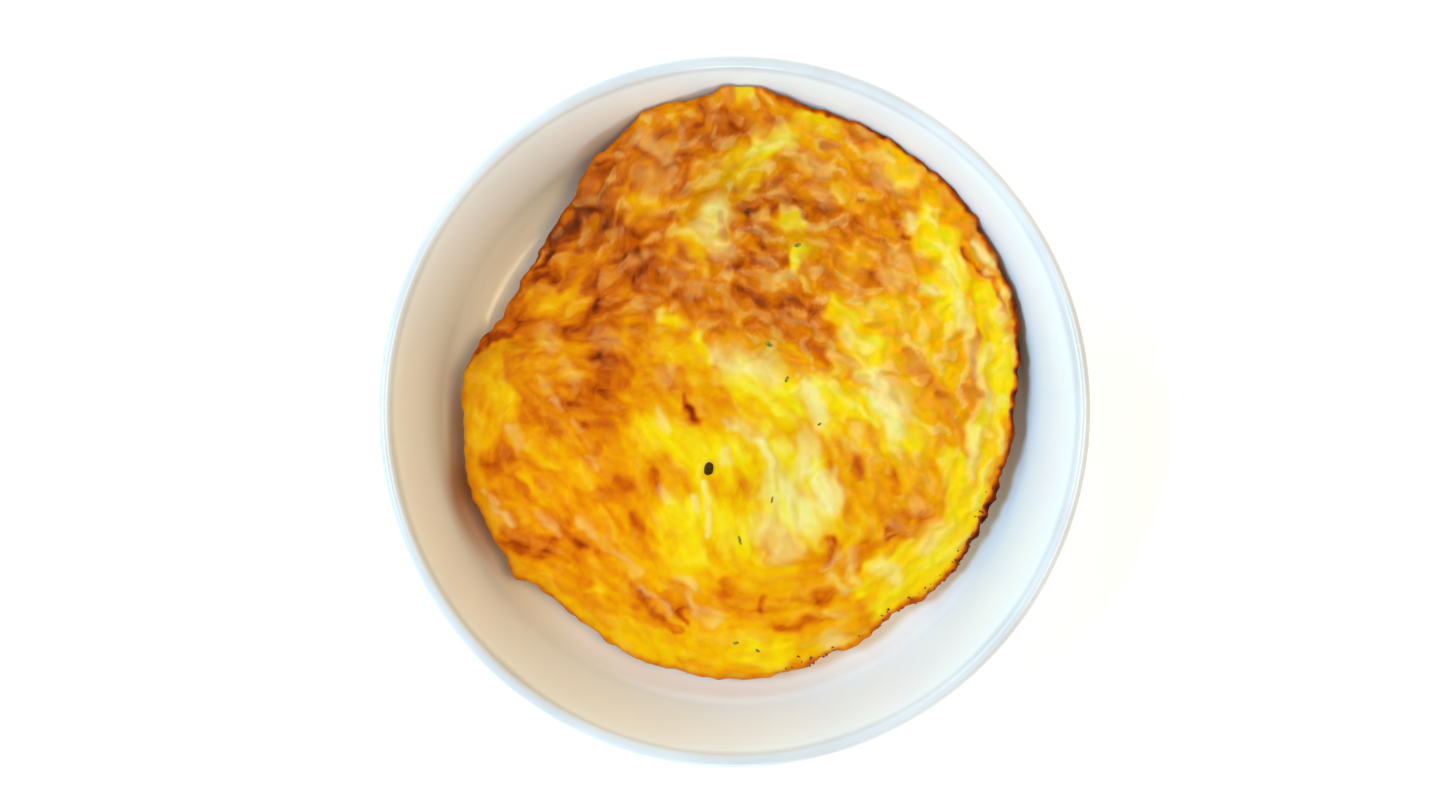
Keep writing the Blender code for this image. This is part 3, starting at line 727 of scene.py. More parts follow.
def mix(tree, share, first, second):
    """The first colour, giving way to the second as the share grows."""
    return add(tree, "ShaderNodeMix", {"data_type": "RGBA"}, {0: share, 6: first, 7: second}).outputs[2]


def raised(tree, pattern, strength, depth):
    """Normal of a surface raised by a pattern, with its depth in millimetres."""
    return add(tree, "ShaderNodeBump", inputs={
        "Height": pattern, "Strength": strength, "Distance": depth * MM}).outputs["Normal"]


def new_material(name):
    """Material with an empty tree, that tree, and the place on the object in it."""
    material = bpy.data.materials.new(name)
    material.use_nodes = True
    tree = material.node_tree
    tree.nodes.clear()
    return material, tree, add(tree, "ShaderNodeTexCoord").outputs["Object"]


def coat(tree, inputs):
    """Give the material its surface."""
    shader = add(tree, "ShaderNodeBsdfPrincipled", inputs=inputs)
    add(tree, "ShaderNodeOutputMaterial", inputs={"Surface": shader.outputs["BSDF"]})


def white_glaze():
    """Thick white glaze over stoneware, fired glossy: clean white, with painted light in its tint:
    faintly warm on the floor for painted bounce light from the egg, cooler up the wall for painted
    cool daylight, grey over the lip for painted shade on its rounding, and painted shade beside the egg."""
    material, tree, place = new_material("white_tin_glaze_on_stoneware")
    # the tint goes with the height, and wanders up and down by about a millimetre; this tint is painted
    # light: warm bounce low down, cool daylight higher up, shade on the lip
    split = add(tree, "ShaderNodeSeparateXYZ", inputs={"Vector": place})
    height = times_plus(tree, noise(tree, place, GLAZE_CLOUD, 3.0), 4.0 * MM, split.outputs["Z"])
    tint = ramp(tree, spread_out(tree, height, 6.0 * MM, 42.5 * MM), (
        (0.0, "F2F4EE"), (0.25, "F1F4F0"), (0.7, "EFF5F6"), (0.9, "EEF8FC"), (1.0, "C8CBCE")))
    # painted shade beside the egg: a warm brown shadow and reflection of the egg on the floor
    shaded_glaze = mix(tree, stored(tree, "painted_gap_shade"), tint, linear("BC741C"))
    # the fired glaze lies in slow, shallow ripples
    ripples = raised(tree, noise(tree, place, GLAZE_RIPPLE, 2.0), 0.05, 1.0)
    coat(tree, {"Base Color": shaded_glaze, "Roughness": 0.2, "IOR": 1.5, "Normal": ripples})
    return material


def cooked_egg():
    """Whole egg set in a hot pan: moist yellow curd, drier and duller where it browned."""
    material, tree, place = new_material("cooked_egg_browned_skin")
    # browning breaks up into fine grains
    grains = times_plus(tree, noise(tree, place, BROWNING_GRAIN, 4.0, 0.6), 0.06, -0.03)
    mottled = times_plus(tree, stored(tree, "tone"), 1.0, grains)
    browning = ramp(tree, mottled, (
        (0.0, "E8DA34"), (1.0, "380F03"), (0.10, "E6D010"), (0.20, "E4C003"), (0.30, "E2AE01"),
        (0.40, "DE9A01"), (0.50, "D88601"), (0.60, "CE7102"), (0.70, "BF5B03"), (0.80, "A94503"),
        (0.90, "7E2803")))
    # set white is creamy over the yolk; over browned skin the peach-coloured film is partly painted sheen on
    # its ridges
    whitened_and_sheen = ramp(tree, mottled, ((0.1, "E6DC94"), (0.9, "D29A5C"), (0.35, "E4D080"), (0.55, "E0B868")))
    plain = mix(tree, stored(tree, "white_and_sheen"), browning, whitened_and_sheen)
    # some stretches are a greener yellow, others a fuller orange; the duller, greener yellow in and beside
    # the upper folds is painted shade
    red = times_plus(tree, stored(tree, "greener_and_fold_shade"), -0.16, 1.0)
    pull = add(tree, "ShaderNodeCombineXYZ", inputs={"X": red, "Y": 1.0, "Z": 1.0})
    skin = add(tree, "ShaderNodeVectorMath", {"operation": "MULTIPLY"},
               {0: plain, 1: pull.outputs["Vector"]})
    # fine wrinkles and the pores between them
    wrinkles = raised(tree, noise(tree, place, SKIN_WRINKLE, 5.0, 0.62), 0.2, 0.5)
    coat(tree, {
        "Base Color": skin.outputs["Vector"], "Roughness": spread_out(tree, mottled, 0.1, 0.8, 0.4, 0.6),
        "IOR": 1.38, "Specular IOR Level": 0.14, "Specular Tint": linear("FFDA66"),
        "Subsurface Weight": 0.12, "Subsurface Radius": (1.0, 0.42, 0.12),
        "Subsurface Scale": 1.5 * MM, "Normal": wrinkles})
    return material


def scorched_crust():
    """Bits of egg fried crisp at the pan's edge: dark, dry and brittle."""
    material, tree, place = new_material("scorched_egg_crust")
    burn = noise(tree, place, CRUST_GRAIN, 3.0)
    tint = ramp(tree, burn, ((0.3, "3A160A"), (0.75, "B05C22"), (0.5, "742F10")))
    coat(tree, {"Base Color": tint, "Roughness": 0.62, "IOR": 1.4,
                "Normal": raised(tree, burn, 0.5, 0.4)})
    return material


def leaf_and_spice(name, dark, light):
    """Dried leaf or cracked spice cooked into the skin: matte, mottled between two colours."""
    material, tree, place = new_material(name)
    vein = noise(tree, place, LEAF_VEIN, 3.0)
    coat(tree, {"Base Color": ramp(tree, vein, ((0.3, dark), (0.7, light))), "Roughness": 0.7,
                "IOR": 1.42, "Specular IOR Level": 0.15, "Normal": raised(tree, vein, 0.4, 0.2)})
    return material


# ================================================================ meshes
def new_object(name, data):
    """Object at the origin with a mesh, light or camera, put into the scene."""
    piece = bpy.data.objects.new(name, data)
    bpy.context.scene.collection.objects.link(piece)
    return piece


def mesh_object(name, places, faces, material):
    """Object with a smooth mesh from places in millimetres."""
    mesh = bpy.data.meshes.new(name)
    mesh.from_pydata((np.asarray(places) * MM).tolist(), [], faces)
    mesh.materials.append(material)
    mesh.shade_smooth()
    mesh.update()
    return new_object(name, mesh)


def give_attribute(piece, name, values):
    """Store one number a point on the piece, for its material or its geometry nodes to read."""
    attribute = piece.data.attributes.new(name, "FLOAT", "POINT")
    attribute.data.foreach_set("value", values.astype(np.float32))


def ring_faces(start, rings, count, top, bottom):
    """Faces between rings of points, and fans that close them to the points top and bottom."""
    last = start + (rings - 1) * count
    faces = []
    for k in range(count):
        after = (k + 1) % count
        faces.append((top, start + k, start + after))
        faces.append((bottom, last + after, last + k))
        for ring in range(start, last, count):
            faces.append((ring + k, ring + count + k, ring + count + after, ring + after))
    return faces


def arc(centre, radius, start, end, steps):
    """Points (r, z) along a circular arc between two directions in degrees, ends included."""
    turns = np.radians(np.linspace(start, end, steps + 1))
    return [(centre[0] + radius * math.cos(t), centre[1] + radius * math.sin(t)) for t in turns]


def wall_points(start, end):
    """Points (r, z) along a straight wall, its ends left out."""
    return [tuple(np.array(start) * (1 - share) + np.array(end) * share) for share in WALL_SHARES]


def dish_profile():
    """Section of the dish from the middle of its floor, over the lip, to the middle of its base."""
    lean = math.degrees(WALL_LEAN)
    lip_radius = WALL_THICKNESS / 2
    fillet_centre = (fillet_centre_radius(), FLOOR_HEIGHT + FLOOR_FILLET)
    inner_fillet = arc(fillet_centre, FLOOR_FILLET, -90.0, -lean, ARC_STEPS)
    lip_centre = (DISH_RADIUS - lip_radius, DISH_HEIGHT - lip_radius)
    lip = arc(lip_centre, lip_radius, 180.0 - lean, 0.0, ARC_STEPS)
    heel_z = BASE_HEIGHT + HEEL_FILLET
    outer_r = DISH_RADIUS - (DISH_HEIGHT - lip_radius - heel_z) * math.tan(WALL_LEAN)
    heel_centre = (outer_r - HEEL_FILLET / math.cos(WALL_LEAN), heel_z)
    heel = arc(heel_centre, HEEL_FILLET, -lean, -90.0, ARC_STEPS)
    foot_inner = FOOT_OUTER_RADIUS - FOOT_WIDTH
    points = [(r, FLOOR_HEIGHT) for r in FLOOR_RINGS]
    points += inner_fillet + wall_points(inner_fillet[-1], lip[0])
    points += lip + wall_points(lip[-1], heel[0]) + heel
    points += [(FOOT_OUTER_RADIUS + FOOT_FLARE, BASE_HEIGHT)]
    points += arc((FOOT_OUTER_RADIUS - FOOT_EDGE, FOOT_EDGE), FOOT_EDGE, 0.0, -90.0, ARC_STEPS // 3)
    points += arc((foot_inner + FOOT_EDGE, FOOT_EDGE), FOOT_EDGE, -90.0, -180.0, ARC_STEPS // 3)
    points += [(foot_inner - FOOT_FLARE, BASE_HEIGHT)]
    points += [(r, BASE_HEIGHT) for r in BASE_RINGS]
    return points


def gap_shade_cover(places):
    """How strongly painted shade, a warm brown shadow and reflection of the egg, covers the dish's floor
    beside the egg.
    """
    angle = np.degrees(np.arctan2(places[:, 1], places[:, 0]))
    at, width, push = GAP_SHADE_BULGE
    shade_edge = GAP_SHADE_RADIUS + push * bump(turn_between(angle, at), width)
    reach = np.hypot(places[:, 0], places[:, 1])
    shade_cover = arcs_value(angle, GAP_SHADE_ARCS, 0.0) * (1.0 - smooth_step(shade_edge, GAP_SHADE_FADE, reach))
    # the base, below the floor, has none
    return shade_cover * (places[:, 2] > FLOOR_HEIGHT - 0.1)


def make_dish(material):
    """Turn the section round Z."""
    profile = dish_profile()
    turns = np.arange(DISH_SEGMENTS) * math.tau / DISH_SEGMENTS
    rings = []
    for r, z in profile:
        # three and five slow waves round the wall, as a thrown wall has, and only inwards, so that
        # the dish keeps to its size; the foot stays flat
        wander = GLAZE_WAVE * min(1.0, max(0.0, (z - BASE_HEIGHT) / GLAZE_WAVE_START))
        wave = wander * (np.sin(3 * turns + 0.6) + 0.6 * np.sin(5 * turns + 2.0 + z / 9.0) - 1.6)
        rings.append(np.stack(((r + wave) * np.cos(turns), (r + wave) * np.sin(turns),
                               np.full(DISH_SEGMENTS, z)), axis=1))
    places = np.concatenate(rings + [[(0.0, 0.0, FLOOR_HEIGHT)], [(0.0, 0.0, BASE_HEIGHT)]])
    faces = ring_faces(0, len(profile), DISH_SEGMENTS, len(places) - 2, len(places) - 1)
    dish = mesh_object("glazed_dish", places, faces, material)
    # painted shade and reflection of the egg beside it, stored for the glaze
    give_attribute(dish, "painted_gap_shade", gap_shade_cover(places))
    return dish


def side_heights():
    """Heights on the unit sphere that space the side's rows evenly from the top cells to the brow."""
    h = np.linspace(math.sqrt(1.0 - TOP_SPREAD ** 2), 0.0, 4000)
    across = EGG_RADIUS * np.sqrt(1.0 - h ** 2)
    up = (TOP_HEIGHT - BROW_HEIGHT) * h ** EDGE_FULLNESS
    run = np.concatenate(([0.0], np.cumsum(np.hypot(np.diff(across), np.diff(up)))))
    return np.interp(np.linspace(0.0, run[-1], SIDE_ROWS + 1)[1:], run, h)


def egg_grid():
    """Unit-sphere points and faces of the egg's mesh: square cells over the top, then rows
    round the side and in to the middle of the underside."""
    count = 2 * TOP_CELLS + 1
    line = np.linspace(-1.0, 1.0, count)
    u, v = [grid.ravel() for grid in np.meshgrid(line, line, indexing="ij")]
    level = np.maximum(np.abs(u), np.abs(v))
    safe = np.maximum(level, 1e-9)
    # squares become rings: the place along a square's edge gives the turn
    along_u, along_v = u / safe * math.pi / 4, v / safe * math.pi / 4
    sideways = np.abs(u) >= np.abs(v)
    turn = np.select(
        [sideways & (u >= 0), sideways, v >= 0],
        [along_v, math.pi - along_v, math.pi / 2 - along_u], -math.pi / 2 + along_u)
    spread = level * TOP_SPREAD
    points = [np.stack((spread * np.cos(turn), spread * np.sin(turn), np.sqrt(1.0 - spread ** 2)), axis=1)]
    faces = []
    for i in range(count - 1):
        for j in range(count - 1):
            a = i * count + j
            faces.append((a, a + count, a + count + 1, a + 1))
    edge = [i * count for i in range(count - 1)]
    edge += [(count - 1) * count + j for j in range(count - 1)]
    edge += [i * count + count - 1 for i in range(count - 1, 0, -1)]
    edge += list(range(count - 1, 0, -1))
    around = turn[edge]
    heights = list(side_heights()) + [-share ** (1.0 / EDGE_FULLNESS) for share in UNDER_SHARES]
    above = edge
    total = count * count
    for h in heights:
        s = math.sqrt(max(0.0, 1.0 - h * h))
        points.append(np.stack((s * np.cos(around), s * np.sin(around), np.full(len(edge), h)), axis=1))
        below = list(range(total, total + len(edge)))
        for k in range(len(edge)):
            after = (k + 1) % len(edge)
            faces.append((above[k], below[k], below[after], above[after]))
        above = below
        total += len(edge)
    points.append(np.array([[0.0, 0.0, -1.0]]))
    for k in range(len(edge)):
        faces.append((above[k], total, above[(k + 1) % len(edge)]))
    return np.concatenate(points), faces


def skin_fields(x, y):
    """The uneven fields, by name, that break up the skin's browning, white and relief."""
    # the lower half is drawn out in streaks, the browned upper half is blotchier
    low = smooth_step(0.0, 44.0, -y)
    drawn = 0.4 + 0.4 * low
    grain = grain_direction(x, y)
    wide = streaks(x, y, drawn, WIDE_STREAKS)
    thin = np.tanh(1.3 * streaks(x, y, drawn, THIN_STREAKS))
    # edges of areas wander, and are drawn out a little along the grain
    wx = x + 0.6 * drawn * grain[0] * wide + 1.6 * perlin(x, y, 7.0, 11) + 0.8 * perlin(x, y, 3.2, 12)
    wy = y + 0.6 * drawn * grain[1] * wide + 1.6 * perlin(x, y, 7.0, 21) + 0.8 * perlin(x, y, 3.2, 22)
    big, near_big, from_big_seam = patches(wx, wy, grain, drawn, BIG_PATCHES)
    small, near_small, from_small_seam = patches(wx, wy, grain, drawn, SMALL_PATCHES)
    curds = streaks(wx, wy, drawn, CURDS)
    grains = streaks(wx, wy, drawn, CURD_GRAINS)
    return SimpleNamespace(
        x=x, y=y, wx=wx, wy=wy, low=low, wide=wide, thin=thin, mottle=layered(x, y, 3.4, 2, 61),
        big=big, near_big=near_big, from_big_seam=from_big_seam,
        small=small, near_small=near_small, from_small_seam=from_small_seam,
        curds=curds, pale=smooth_step(0.9, 0.5, curds),
        grains=grains, pale_grain=smooth_step(1.0, 0.5, grains),
        swell=1.0 + 0.3 * perlin(x, y, 7.0, 41), ragged=0.14 * big + 0.12 * small + 0.05 * thin)


def stroke_mask(skin, stroke, softness):
    """1 on a stroke and 0 away from it, with a ragged and soft edge."""
    _, away = nearest_on_line(skin.wx, skin.wy, *stroke[:4])
    return 1.0 - smooth_step(STROKE_EDGE, softness, away / (stroke[4] * skin.swell) + skin.ragged)


def lay_strokes(skin):
    """Tone of browning and cover of white, partly painted sheen, from the areas and strokes, before they are
    broken up.
    """
    tone = np.full(skin.x.shape, PLAIN_TONE)
    for goal, cover, strokes in BROWNING:
        for stroke in strokes:
            softness = WIDE_SOFTNESS if stroke[4] > WIDE_STROKE else NARROW_SOFTNESS
            tone = tone + (goal - tone) * (cover * stroke_mask(skin, stroke, softness))
    white_and_sheen = np.zeros(skin.x.shape)
    for cover, strokes in WHITES_AND_SHEEN:
        for stroke in strokes:
            white_and_sheen = np.maximum(white_and_sheen, cover * stroke_mask(skin, stroke, WIDE_SOFTNESS))
    return tone, white_and_sheen


def break_up_tone(skin, tone, browned):
    """Tone with patches and streaks, browner seams, painted shade that darkens the hollows between the
    curds, and pale curds that are partly painted highlight.
    """
    strength = 0.035 + 0.045 * smooth_step(0.42, 0.3, tone)
    blotches = (0.85 - 0.35 * skin.low) * skin.big + (0.7 - 0.3 * skin.low) * skin.small
    drift = blotches + 0.35 * skin.wide + 0.35 * skin.mottle + (0.25 + 0.42 * skin.low) * skin.thin
    # browned skin puckers, with browner seams round the browner of its patches
    big_seam = (1.0 - smooth_step(0.12, 0.24, skin.from_big_seam)) * (skin.big > 0.0)
    small_seam = (1.0 - smooth_step(0.12, 0.24, skin.from_small_seam)) * (skin.small > 0.2)
    # the curds have firm edges; the darker hollows are painted shade and the paler curds partly painted
    # highlight
    hollow_shade = smooth_step(0.9, 0.5, -skin.curds) + 0.45 * smooth_step(1.0, 0.5, -skin.grains)
    curds = hollow_shade - 0.6 * skin.pale - 0.3 * skin.pale_grain
    tone = tone + strength * drift + browned * (0.05 * big_seam + 0.03 * small_seam - 0.015)
    return tone + (0.045 + 0.03 * browned) * curds


def add_white_and_sheen(skin, white_and_sheen, browned, veil):
    """Cover of white with pale curds and thin clouds, both stronger under the veil; the pale on the raised
    curds is partly painted sheen.
    """
    curds = (0.04 + 0.26 * veil) * skin.pale + (0.01 + 0.07 * veil) * skin.pale_grain * browned
    clouds = np.clip(0.7 * skin.wide + 0.2 * skin.thin + 0.4, 0.0, 2.0)
    white_and_sheen = np.maximum(white_and_sheen, curds) + (0.01 + 0.06 * veil) * (1.0 - 0.5 * browned) * clouds
    return np.clip(white_and_sheen * (0.8 + 0.3 * skin.small + 0.16 * skin.thin + 0.1 * skin.grains), 0.0, 1.0)


def raise_skin(skin, tone, white_and_sheen, browned, right, side):
    """Relief of the top skin in millimetres: swellings, puckers, curds and strands."""
    relief = 0.14 * skin.wide + 0.04 * skin.thin + 0.1 * skin.big + 0.05 * skin.small
    relief = relief + 0.3 * layered(skin.x, skin.y, 7.0, 2, 65)
    relief = relief + browned * (0.3 * (0.6 - skin.near_big) + 0.1 * (0.5 - skin.near_small))
    relief = relief + 0.15 * white_and_sheen + 0.12 * skin.curds + 0.04 * skin.grains
    # rougher towards the right, and sunk where it is browned through
    relief = relief * (1.0 + 0.4 * right) - 0.3 * smooth_step(0.78, 0.16, tone) * (1.0 - side)
    sx, sy = 0.3 * skin.wx + 0.7 * skin.x, 0.3 * skin.wy + 0.7 * skin.y
    for route, rise, width in STRANDS:
        off, passed = follow_route(sx, sy, route)
        ends = smooth_step(0.06, 0.12, passed) * (1.0 - smooth_step(0.94, 0.12, passed))
        relief = relief + ends * rise * (bump(off, width) - 0.5 * bump(off - 2.2 * width, width))
    return relief


def paint_egg(x, y, angle, spread):
    """Tone of browning, cover of white with painted sheen, greenness with painted shade in the upper
    folds, fine relief in millimetres and share of side at places on the egg."""
    skin = skin_fields(x, y)
    tone, white_and_sheen = lay_strokes(skin)
    browned = smooth_step(0.5, 0.2, tone) * (1.0 - smooth_step(0.85, 0.1, tone))
    tone = break_up_tone(skin, tone, browned)
    # a thin veil of set white lies over the upper and right part
    veil = smooth_step(15.0, 70.0, x + 1.3 * y)
    right = smooth_step(25.0, 40.0, x)
    white_and_sheen = add_white_and_sheen(skin, white_and_sheen, browned, veil)
    # greener yellow, painted shade in and beside the upper folds and the yolk's own colour elsewhere
    greener_and_fold_shade = sum(strength * bump(np.hypot(x - cx, y - cy), reach) for strength, cx, cy, reach in GREENER_AND_FOLD_SHADE)
    greener_and_fold_shade = greener_and_fold_shade - (0.04 + 0.18 * veil + 0.12 * right) * skin.grains
    # the rounded edge and the side have their own tone and no white
    side = smooth_step(0.988, 0.016, spread + 0.006 * perlin(x, y, 2.0, 33) + 0.004 * skin.mottle)
    tone = tone + (arcs_value(angle, SIDE_ARCS, SIDE_TONE) + 0.1 * skin.mottle - tone) * side
    white_and_sheen = white_and_sheen * (1.0 - side)
    return tone, white_and_sheen, greener_and_fold_shade, raise_skin(skin, tone, white_and_sheen, browned, right, side), side


def crisp_edge(angle, spread):
    """How far the browned edge stands out beyond the brow, unevenly."""
    ragged = np.clip(0.7 + 0.8 * perlin(angle * 1.2, angle * 0.0, 2.6, 83), 0.0, 1.5)
    return arcs_value(angle, CRISP_ARCS, 0.0) * bump(spread - 0.999, 0.006) * ragged


def keep_off_wall(places):
    """Pull in the points that would come nearer to the dish's wall than the gap."""
    reach = np.hypot(places[:, 0], places[:, 1])
    pull = np.minimum(1.0, (hollow_radius(places[:, 2]) - GAP) / np.maximum(reach, 1.0))
    places[:, :2] *= pull[:, None]


def make_egg(material):
    """The egg's form with its skin's relief, painted point by point."""
    unit, faces = egg_grid()
    places = shape_egg(unit)
    angle = np.degrees(np.arctan2(unit[:, 1], unit[:, 0])) % 360.0
    # 0 in the middle of the top, 1 on the brow and 2 in the middle of the underside
    across = np.hypot(unit[:, 0], unit[:, 1])
    on_top = unit[:, 2] > 0.0
    spread = np.where(on_top, across, 2.0 - across)
    tone, white_and_sheen, greener_and_fold_shade, relief, side = paint_egg(places[:, 0], places[:, 1], angle, spread)
    egg = mesh_object("egg", places, faces, material)
    normals = np.zeros(len(places) * 3, np.float32)
    egg.data.vertex_normals.foreach_get("vector", normals)
    # the side is creased, and the underside smooth
    creases = 0.35 * perlin(angle * 1.2, places[:, 2] * 0.35, 2.6, 81) * side
    under_fade = 1.0 - smooth_step(1.02, 0.04, spread)
    shift = (relief * on_top + creases) * under_fade + crisp_edge(angle, spread)
    places = places + normals.reshape(-1, 3) * shift[:, None]
    keep_off_wall(places)
    egg.data.vertices.foreach_set("co", (places * MM).astype(np.float32).ravel())
    crumb_cover = np.clip(arcs_value(angle, CRUMB_ARCS, 0.0), 0.0, 1.0) * bump(spread - 0.985, 0.012)
    painted = {"tone": tone, "white_and_sheen": white_and_sheen, "greener_and_fold_shade": greener_and_fold_shade, "crumb_cover": crumb_cover}
    for name, values in painted.items():
        give_attribute(egg, name, values)
    egg.data.update()
    return egg


def scatter_tree(material):
    """Geometry nodes that strew small angular bits over a surface where an attribute covers it."""
    tree = bpy.data.node_groups.new("strew_bits", "GeometryNodeTree")
    tree.interface.new_socket("Geometry", in_out="INPUT", socket_type="NodeSocketGeometry")
    tree.interface.new_socket("Geometry", in_out="OUTPUT", socket_type="NodeSocketGeometry")
    for name in ("Bits per square metre", "Smallest", "Largest"):
        tree.interface.new_socket(name, in_out="INPUT", socket_type="NodeSocketFloat")
    tree.interface.new_socket("Seed", in_out="INPUT", socket_type="NodeSocketInt")
    source = add(tree, "NodeGroupInput").outputs
    cover = add(tree, "GeometryNodeInputNamedAttribute", inputs={"Name": "crumb_cover"})
    density = add(tree, "ShaderNodeMath", {"operation": "MULTIPLY"},
                  {0: cover.outputs["Attribute"], 1: source["Bits per square metre"]})
    spots = add(tree, "GeometryNodeDistributePointsOnFaces", inputs={
        "Mesh": source["Geometry"], "Density": density.outputs[0], "Seed": source["Seed"]})
    bit = add(tree, "GeometryNodeMeshIcoSphere", inputs={"Radius": 1.0, "Subdivisions": 2})
    place = add(tree, "GeometryNodeInputPosition")
    uneven = add(tree, "ShaderNodeTexNoise", inputs={"Vector": place.outputs["Position"], "Scale": 1.4})
    push = add(tree, "ShaderNodeVectorMath", {"operation": "SCALE"},
               {0: place.outputs["Position"], "Scale": uneven.outputs["Fac"]})
    shaped = add(tree, "GeometryNodeSetPosition", inputs={
        "Geometry": bit.outputs["Mesh"], "Position": push.outputs["Vector"]})
    turn = add(tree, "FunctionNodeRandomValue", {"data_type": "FLOAT_VECTOR"},
               {1: (math.tau, math.tau, math.tau), "Seed": source["Seed"]})
    size = add(tree, "FunctionNodeRandomValue", inputs={
        2: source["Smallest"], 3: source["Largest"], "Seed": source["Seed"]})
    flat = add(tree, "FunctionNodeRandomValue", {"data_type": "FLOAT_VECTOR"},
               {0: (1.6, 0.9, 0.5), 1: (2.6, 1.6, 1.0), "Seed": source["Seed"]})
    scale = add(tree, "ShaderNodeVectorMath", {"operation": "SCALE"},
                {0: flat.outputs[0], "Scale": size.outputs[1]})
    strewn = add(tree, "GeometryNodeInstanceOnPoints", inputs={
        "Points": spots.outputs["Points"], "Instance": shaped.outputs["Geometry"],
        "Rotation": turn.outputs[0], "Scale": scale.outputs["Vector"]})
    real = add(tree, "GeometryNodeRealizeInstances", inputs={"Geometry": strewn.outputs["Instances"]})
    done = add(tree, "GeometryNodeSetMaterial", inputs={
        "Geometry": real.outputs["Geometry"], "Material": material})
    add(tree, "NodeGroupOutput", inputs={"Geometry": done.outputs["Geometry"]})
    return tree


def make_crumbs(egg, material):
    """Crisp bits along the egg's browned edge, strewn by geometry nodes and made a plain mesh."""
    tree = scatter_tree(material)
    ground = new_object("crumb_ground", egg.data.copy())
    strew = ground.modifiers.new("strew", "NODES")
    strew.node_group = tree
    sockets = {item.name: item.identifier for item in tree.interface.items_tree if item.in_out == "INPUT"}
    strew[sockets["Bits per square metre"]] = CRUMBS_PER_SQUARE_METRE
    strew[sockets["Smallest"]] = CRUMB_RADII[0] * MM
    strew[sockets["Largest"]] = CRUMB_RADII[1] * MM
    strew[sockets["Seed"]] = CRUMB_SEED
    depsgraph = bpy.context.evaluated_depsgraph_get()
    mesh = bpy.data.meshes.new_from_object(ground.evaluated_get(depsgraph))
    bpy.data.objects.remove(ground, do_unlink=True)
    mesh.name = "crust_crumbs"
    return new_object("crust_crumbs", mesh)


def pebble(half_sizes, roughness, rings, spokes, seed):
    """Points and faces of a small uneven lump about the origin."""
    rng = np.random.default_rng(seed)
    waves = rng.normal(size=(LUMP_WAVES, 3)) * LUMP_WAVE_RATE
    phases = rng.uniform(0.0, math.tau, LUMP_WAVES)
    unit = [(0.0, 0.0, 1.0)]
    for ring in range(1, rings):
        tilt = math.pi * ring / rings
        for k in range(spokes):
            turn = math.tau * k / spokes
            unit.append((math.sin(tilt) * math.cos(turn), math.sin(tilt) * math.sin(turn), math.cos(tilt)))
    unit.append((0.0, 0.0, -1.0))
    unit = np.array(unit)
    uneven = 1.0 + roughness * np.sin(unit @ waves.T + phases).sum(axis=1)
    faces = ring_faces(1, rings - 1, spokes, 0, len(unit) - 1)
    return unit * uneven[:, None] * np.array(half_sizes), faces


def make_flecks(name, surface, flecks, material, thickness, roughness, rings, spokes):
    """Small pieces that lie on the egg: place, length, width and turn of each."""
    places, faces = [], []
    for number, (x, y, length, width, degrees) in enumerate(flecks):
        above = Vector((x, y, FLECK_DROP_HEIGHT)) * MM
        hit, normal, _, _ = surface.ray_cast(above, Vector((0.0, 0.0, -1.0)))
        half_sizes = (length / 2, width / 2, thickness / 2)
        lump, sides = pebble(half_sizes, roughness, rings, spokes, FLECK_SEED + number)
        turn = math.radians(degrees)
        along = Vector((math.cos(turn), math.sin(turn), 0.0))
        up = normal.normalized()
        across = up.cross(along).normalized()
        axes = np.array([across.cross(up), across, up])
        start = sum(len(group) for group in places)
        places.append(lump @ axes + np.array(hit) / MM + np.array(up) * thickness * FLECK_LIFT)
        faces += [tuple(start + corner for corner in side) for side in sides]
    return mesh_object(name, np.concatenate(places), faces, material)


# ================================================================ stage, light and camera
def make_stage():
    """Plain white floor, lit a little from below like a light table."""
    material, tree, place = new_material("white_acrylic_light_table")
    tint = ramp(tree, noise(tree, place, ACRYLIC_CLOUD, 3.0), ((0.0, "F9F9F9"), (1.0, "FBFBFB")))
    coat(tree, {"Base Color": tint, "Roughness": 0.9, "Specular IOR Level": 0.1,
                "Emission Color": linear("E6F0FF"), "Emission Strength": 0.25})
    half = FLOOR_HALF_WIDTH
    corners = [(-half, -half, 0.0), (half, -half, 0.0), (half, half, 0.0), (-half, half, 0.0)]
    floor = mesh_object("floor", corners, [(0, 1, 2, 3)], material)


def area_light(name, place, power, colour):
    """Soft square light aimed at the dish, from a place in millimetres, with its power in watts."""
    light = bpy.data.lights.new(name, "AREA")
    light.energy = power
    light.size = LAMP_WIDTH * MM
    light.color = linear(colour)[:3]
    lamp = new_object(name, light)
    lamp.location = Vector(place) * MM
    aim = Vector(LAMP_AIM) * MM - lamp.location
    lamp.rotation_euler = aim.to_track_quat("-Z", "Y").to_euler()


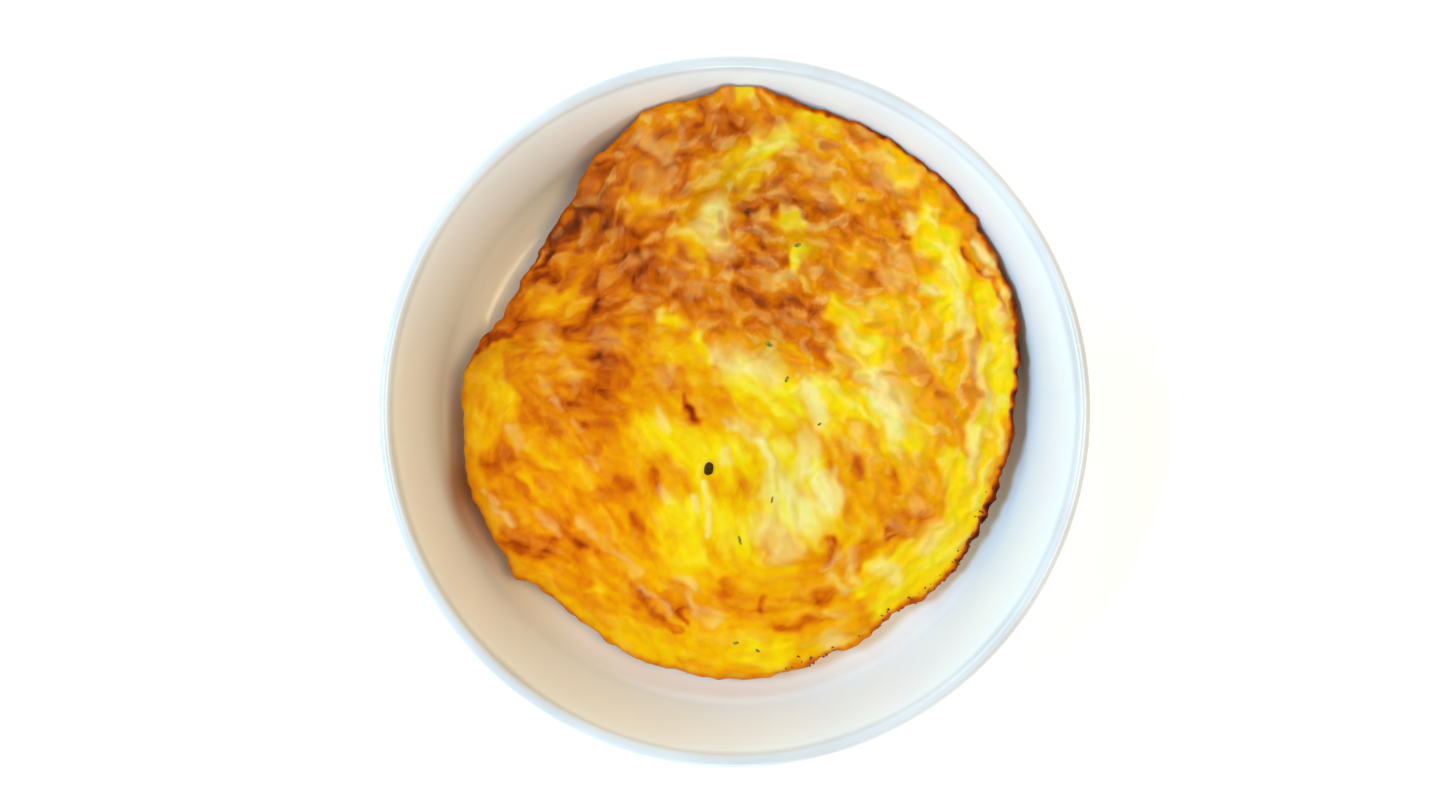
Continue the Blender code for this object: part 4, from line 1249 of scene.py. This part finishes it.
def light_scene():
    """Soft light all round, cool daylight from the left and low from the front, and a warm lamp
    high on the right."""
    world = bpy.data.worlds.new("room")
    world.use_nodes = True
    room = world.node_tree.nodes["Background"]
    room.inputs["Color"].default_value = linear("FFF2D8")
    room.inputs["Strength"].default_value = 0.65
    scene = bpy.context.scene
    scene.world = world
    scene.view_settings.view_transform = "Standard"
    area_light("left_window", (-1157.0, 0.0, 1379.0), 24.0, "A0D2FF")
    area_light("far_window", (-1102.0, 1102.0, 900.0), 8.0, "AADAFF")
    area_light("low_window", (0.0, -2370.0, 375.0), 18.0, "AADAFF")
    area_light("warm_lamp", (616.0, 0.0, 1691.0), 10.5, "FFE6B8")


def place_camera():
    """Looks down into the dish from a little in front of it, as the photo does."""
    camera = bpy.data.cameras.new("camera")
    camera.sensor_width = SENSOR_WIDTH
    share = DISH_WIDTH_IN_PHOTO / PHOTO_WIDTH
    camera.lens = SENSOR_WIDTH * share * CAMERA_DISTANCE / (2 * DISH_RADIUS)
    camera.clip_start = 0.01
    holder = new_object("camera", camera)
    tilt = math.radians(CAMERA_ELEVATION)
    back = Vector((0.0, -math.cos(tilt), math.sin(tilt)))
    holder.location = (Vector(CAMERA_TARGET) + back * CAMERA_DISTANCE) * MM
    holder.rotation_euler = (math.pi / 2 - tilt, 0.0, 0.0)
    bpy.context.scene.camera = holder


# ================================================================ assembly
place_camera()
light_scene()
make_stage()

dish = make_dish(white_glaze())
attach(dish, BODY)
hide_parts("dish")

egg = make_egg(cooked_egg())
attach(egg, BODY)
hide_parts("fried_egg")

egg_surface = BVHTree.FromObject(egg, bpy.context.evaluated_depsgraph_get())
parsley = leaf_and_spice("dried_parsley", "56591C", "A39A3A")
herbs = make_flecks("herb_flecks", egg_surface, HERB_FLECKS, parsley,
                    thickness=0.4, roughness=0.09, rings=5, spokes=10)
pepper = leaf_and_spice("cracked_peppercorn", "1E1104", "54390C")
speck = make_flecks("dark_speck", egg_surface, (SPECK,), pepper,
                    thickness=1.2, roughness=0.045, rings=14, spokes=24)
crumbs = make_crumbs(egg, scorched_crust())
for piece in (herbs, speck, crumbs):
    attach(piece, BODY)
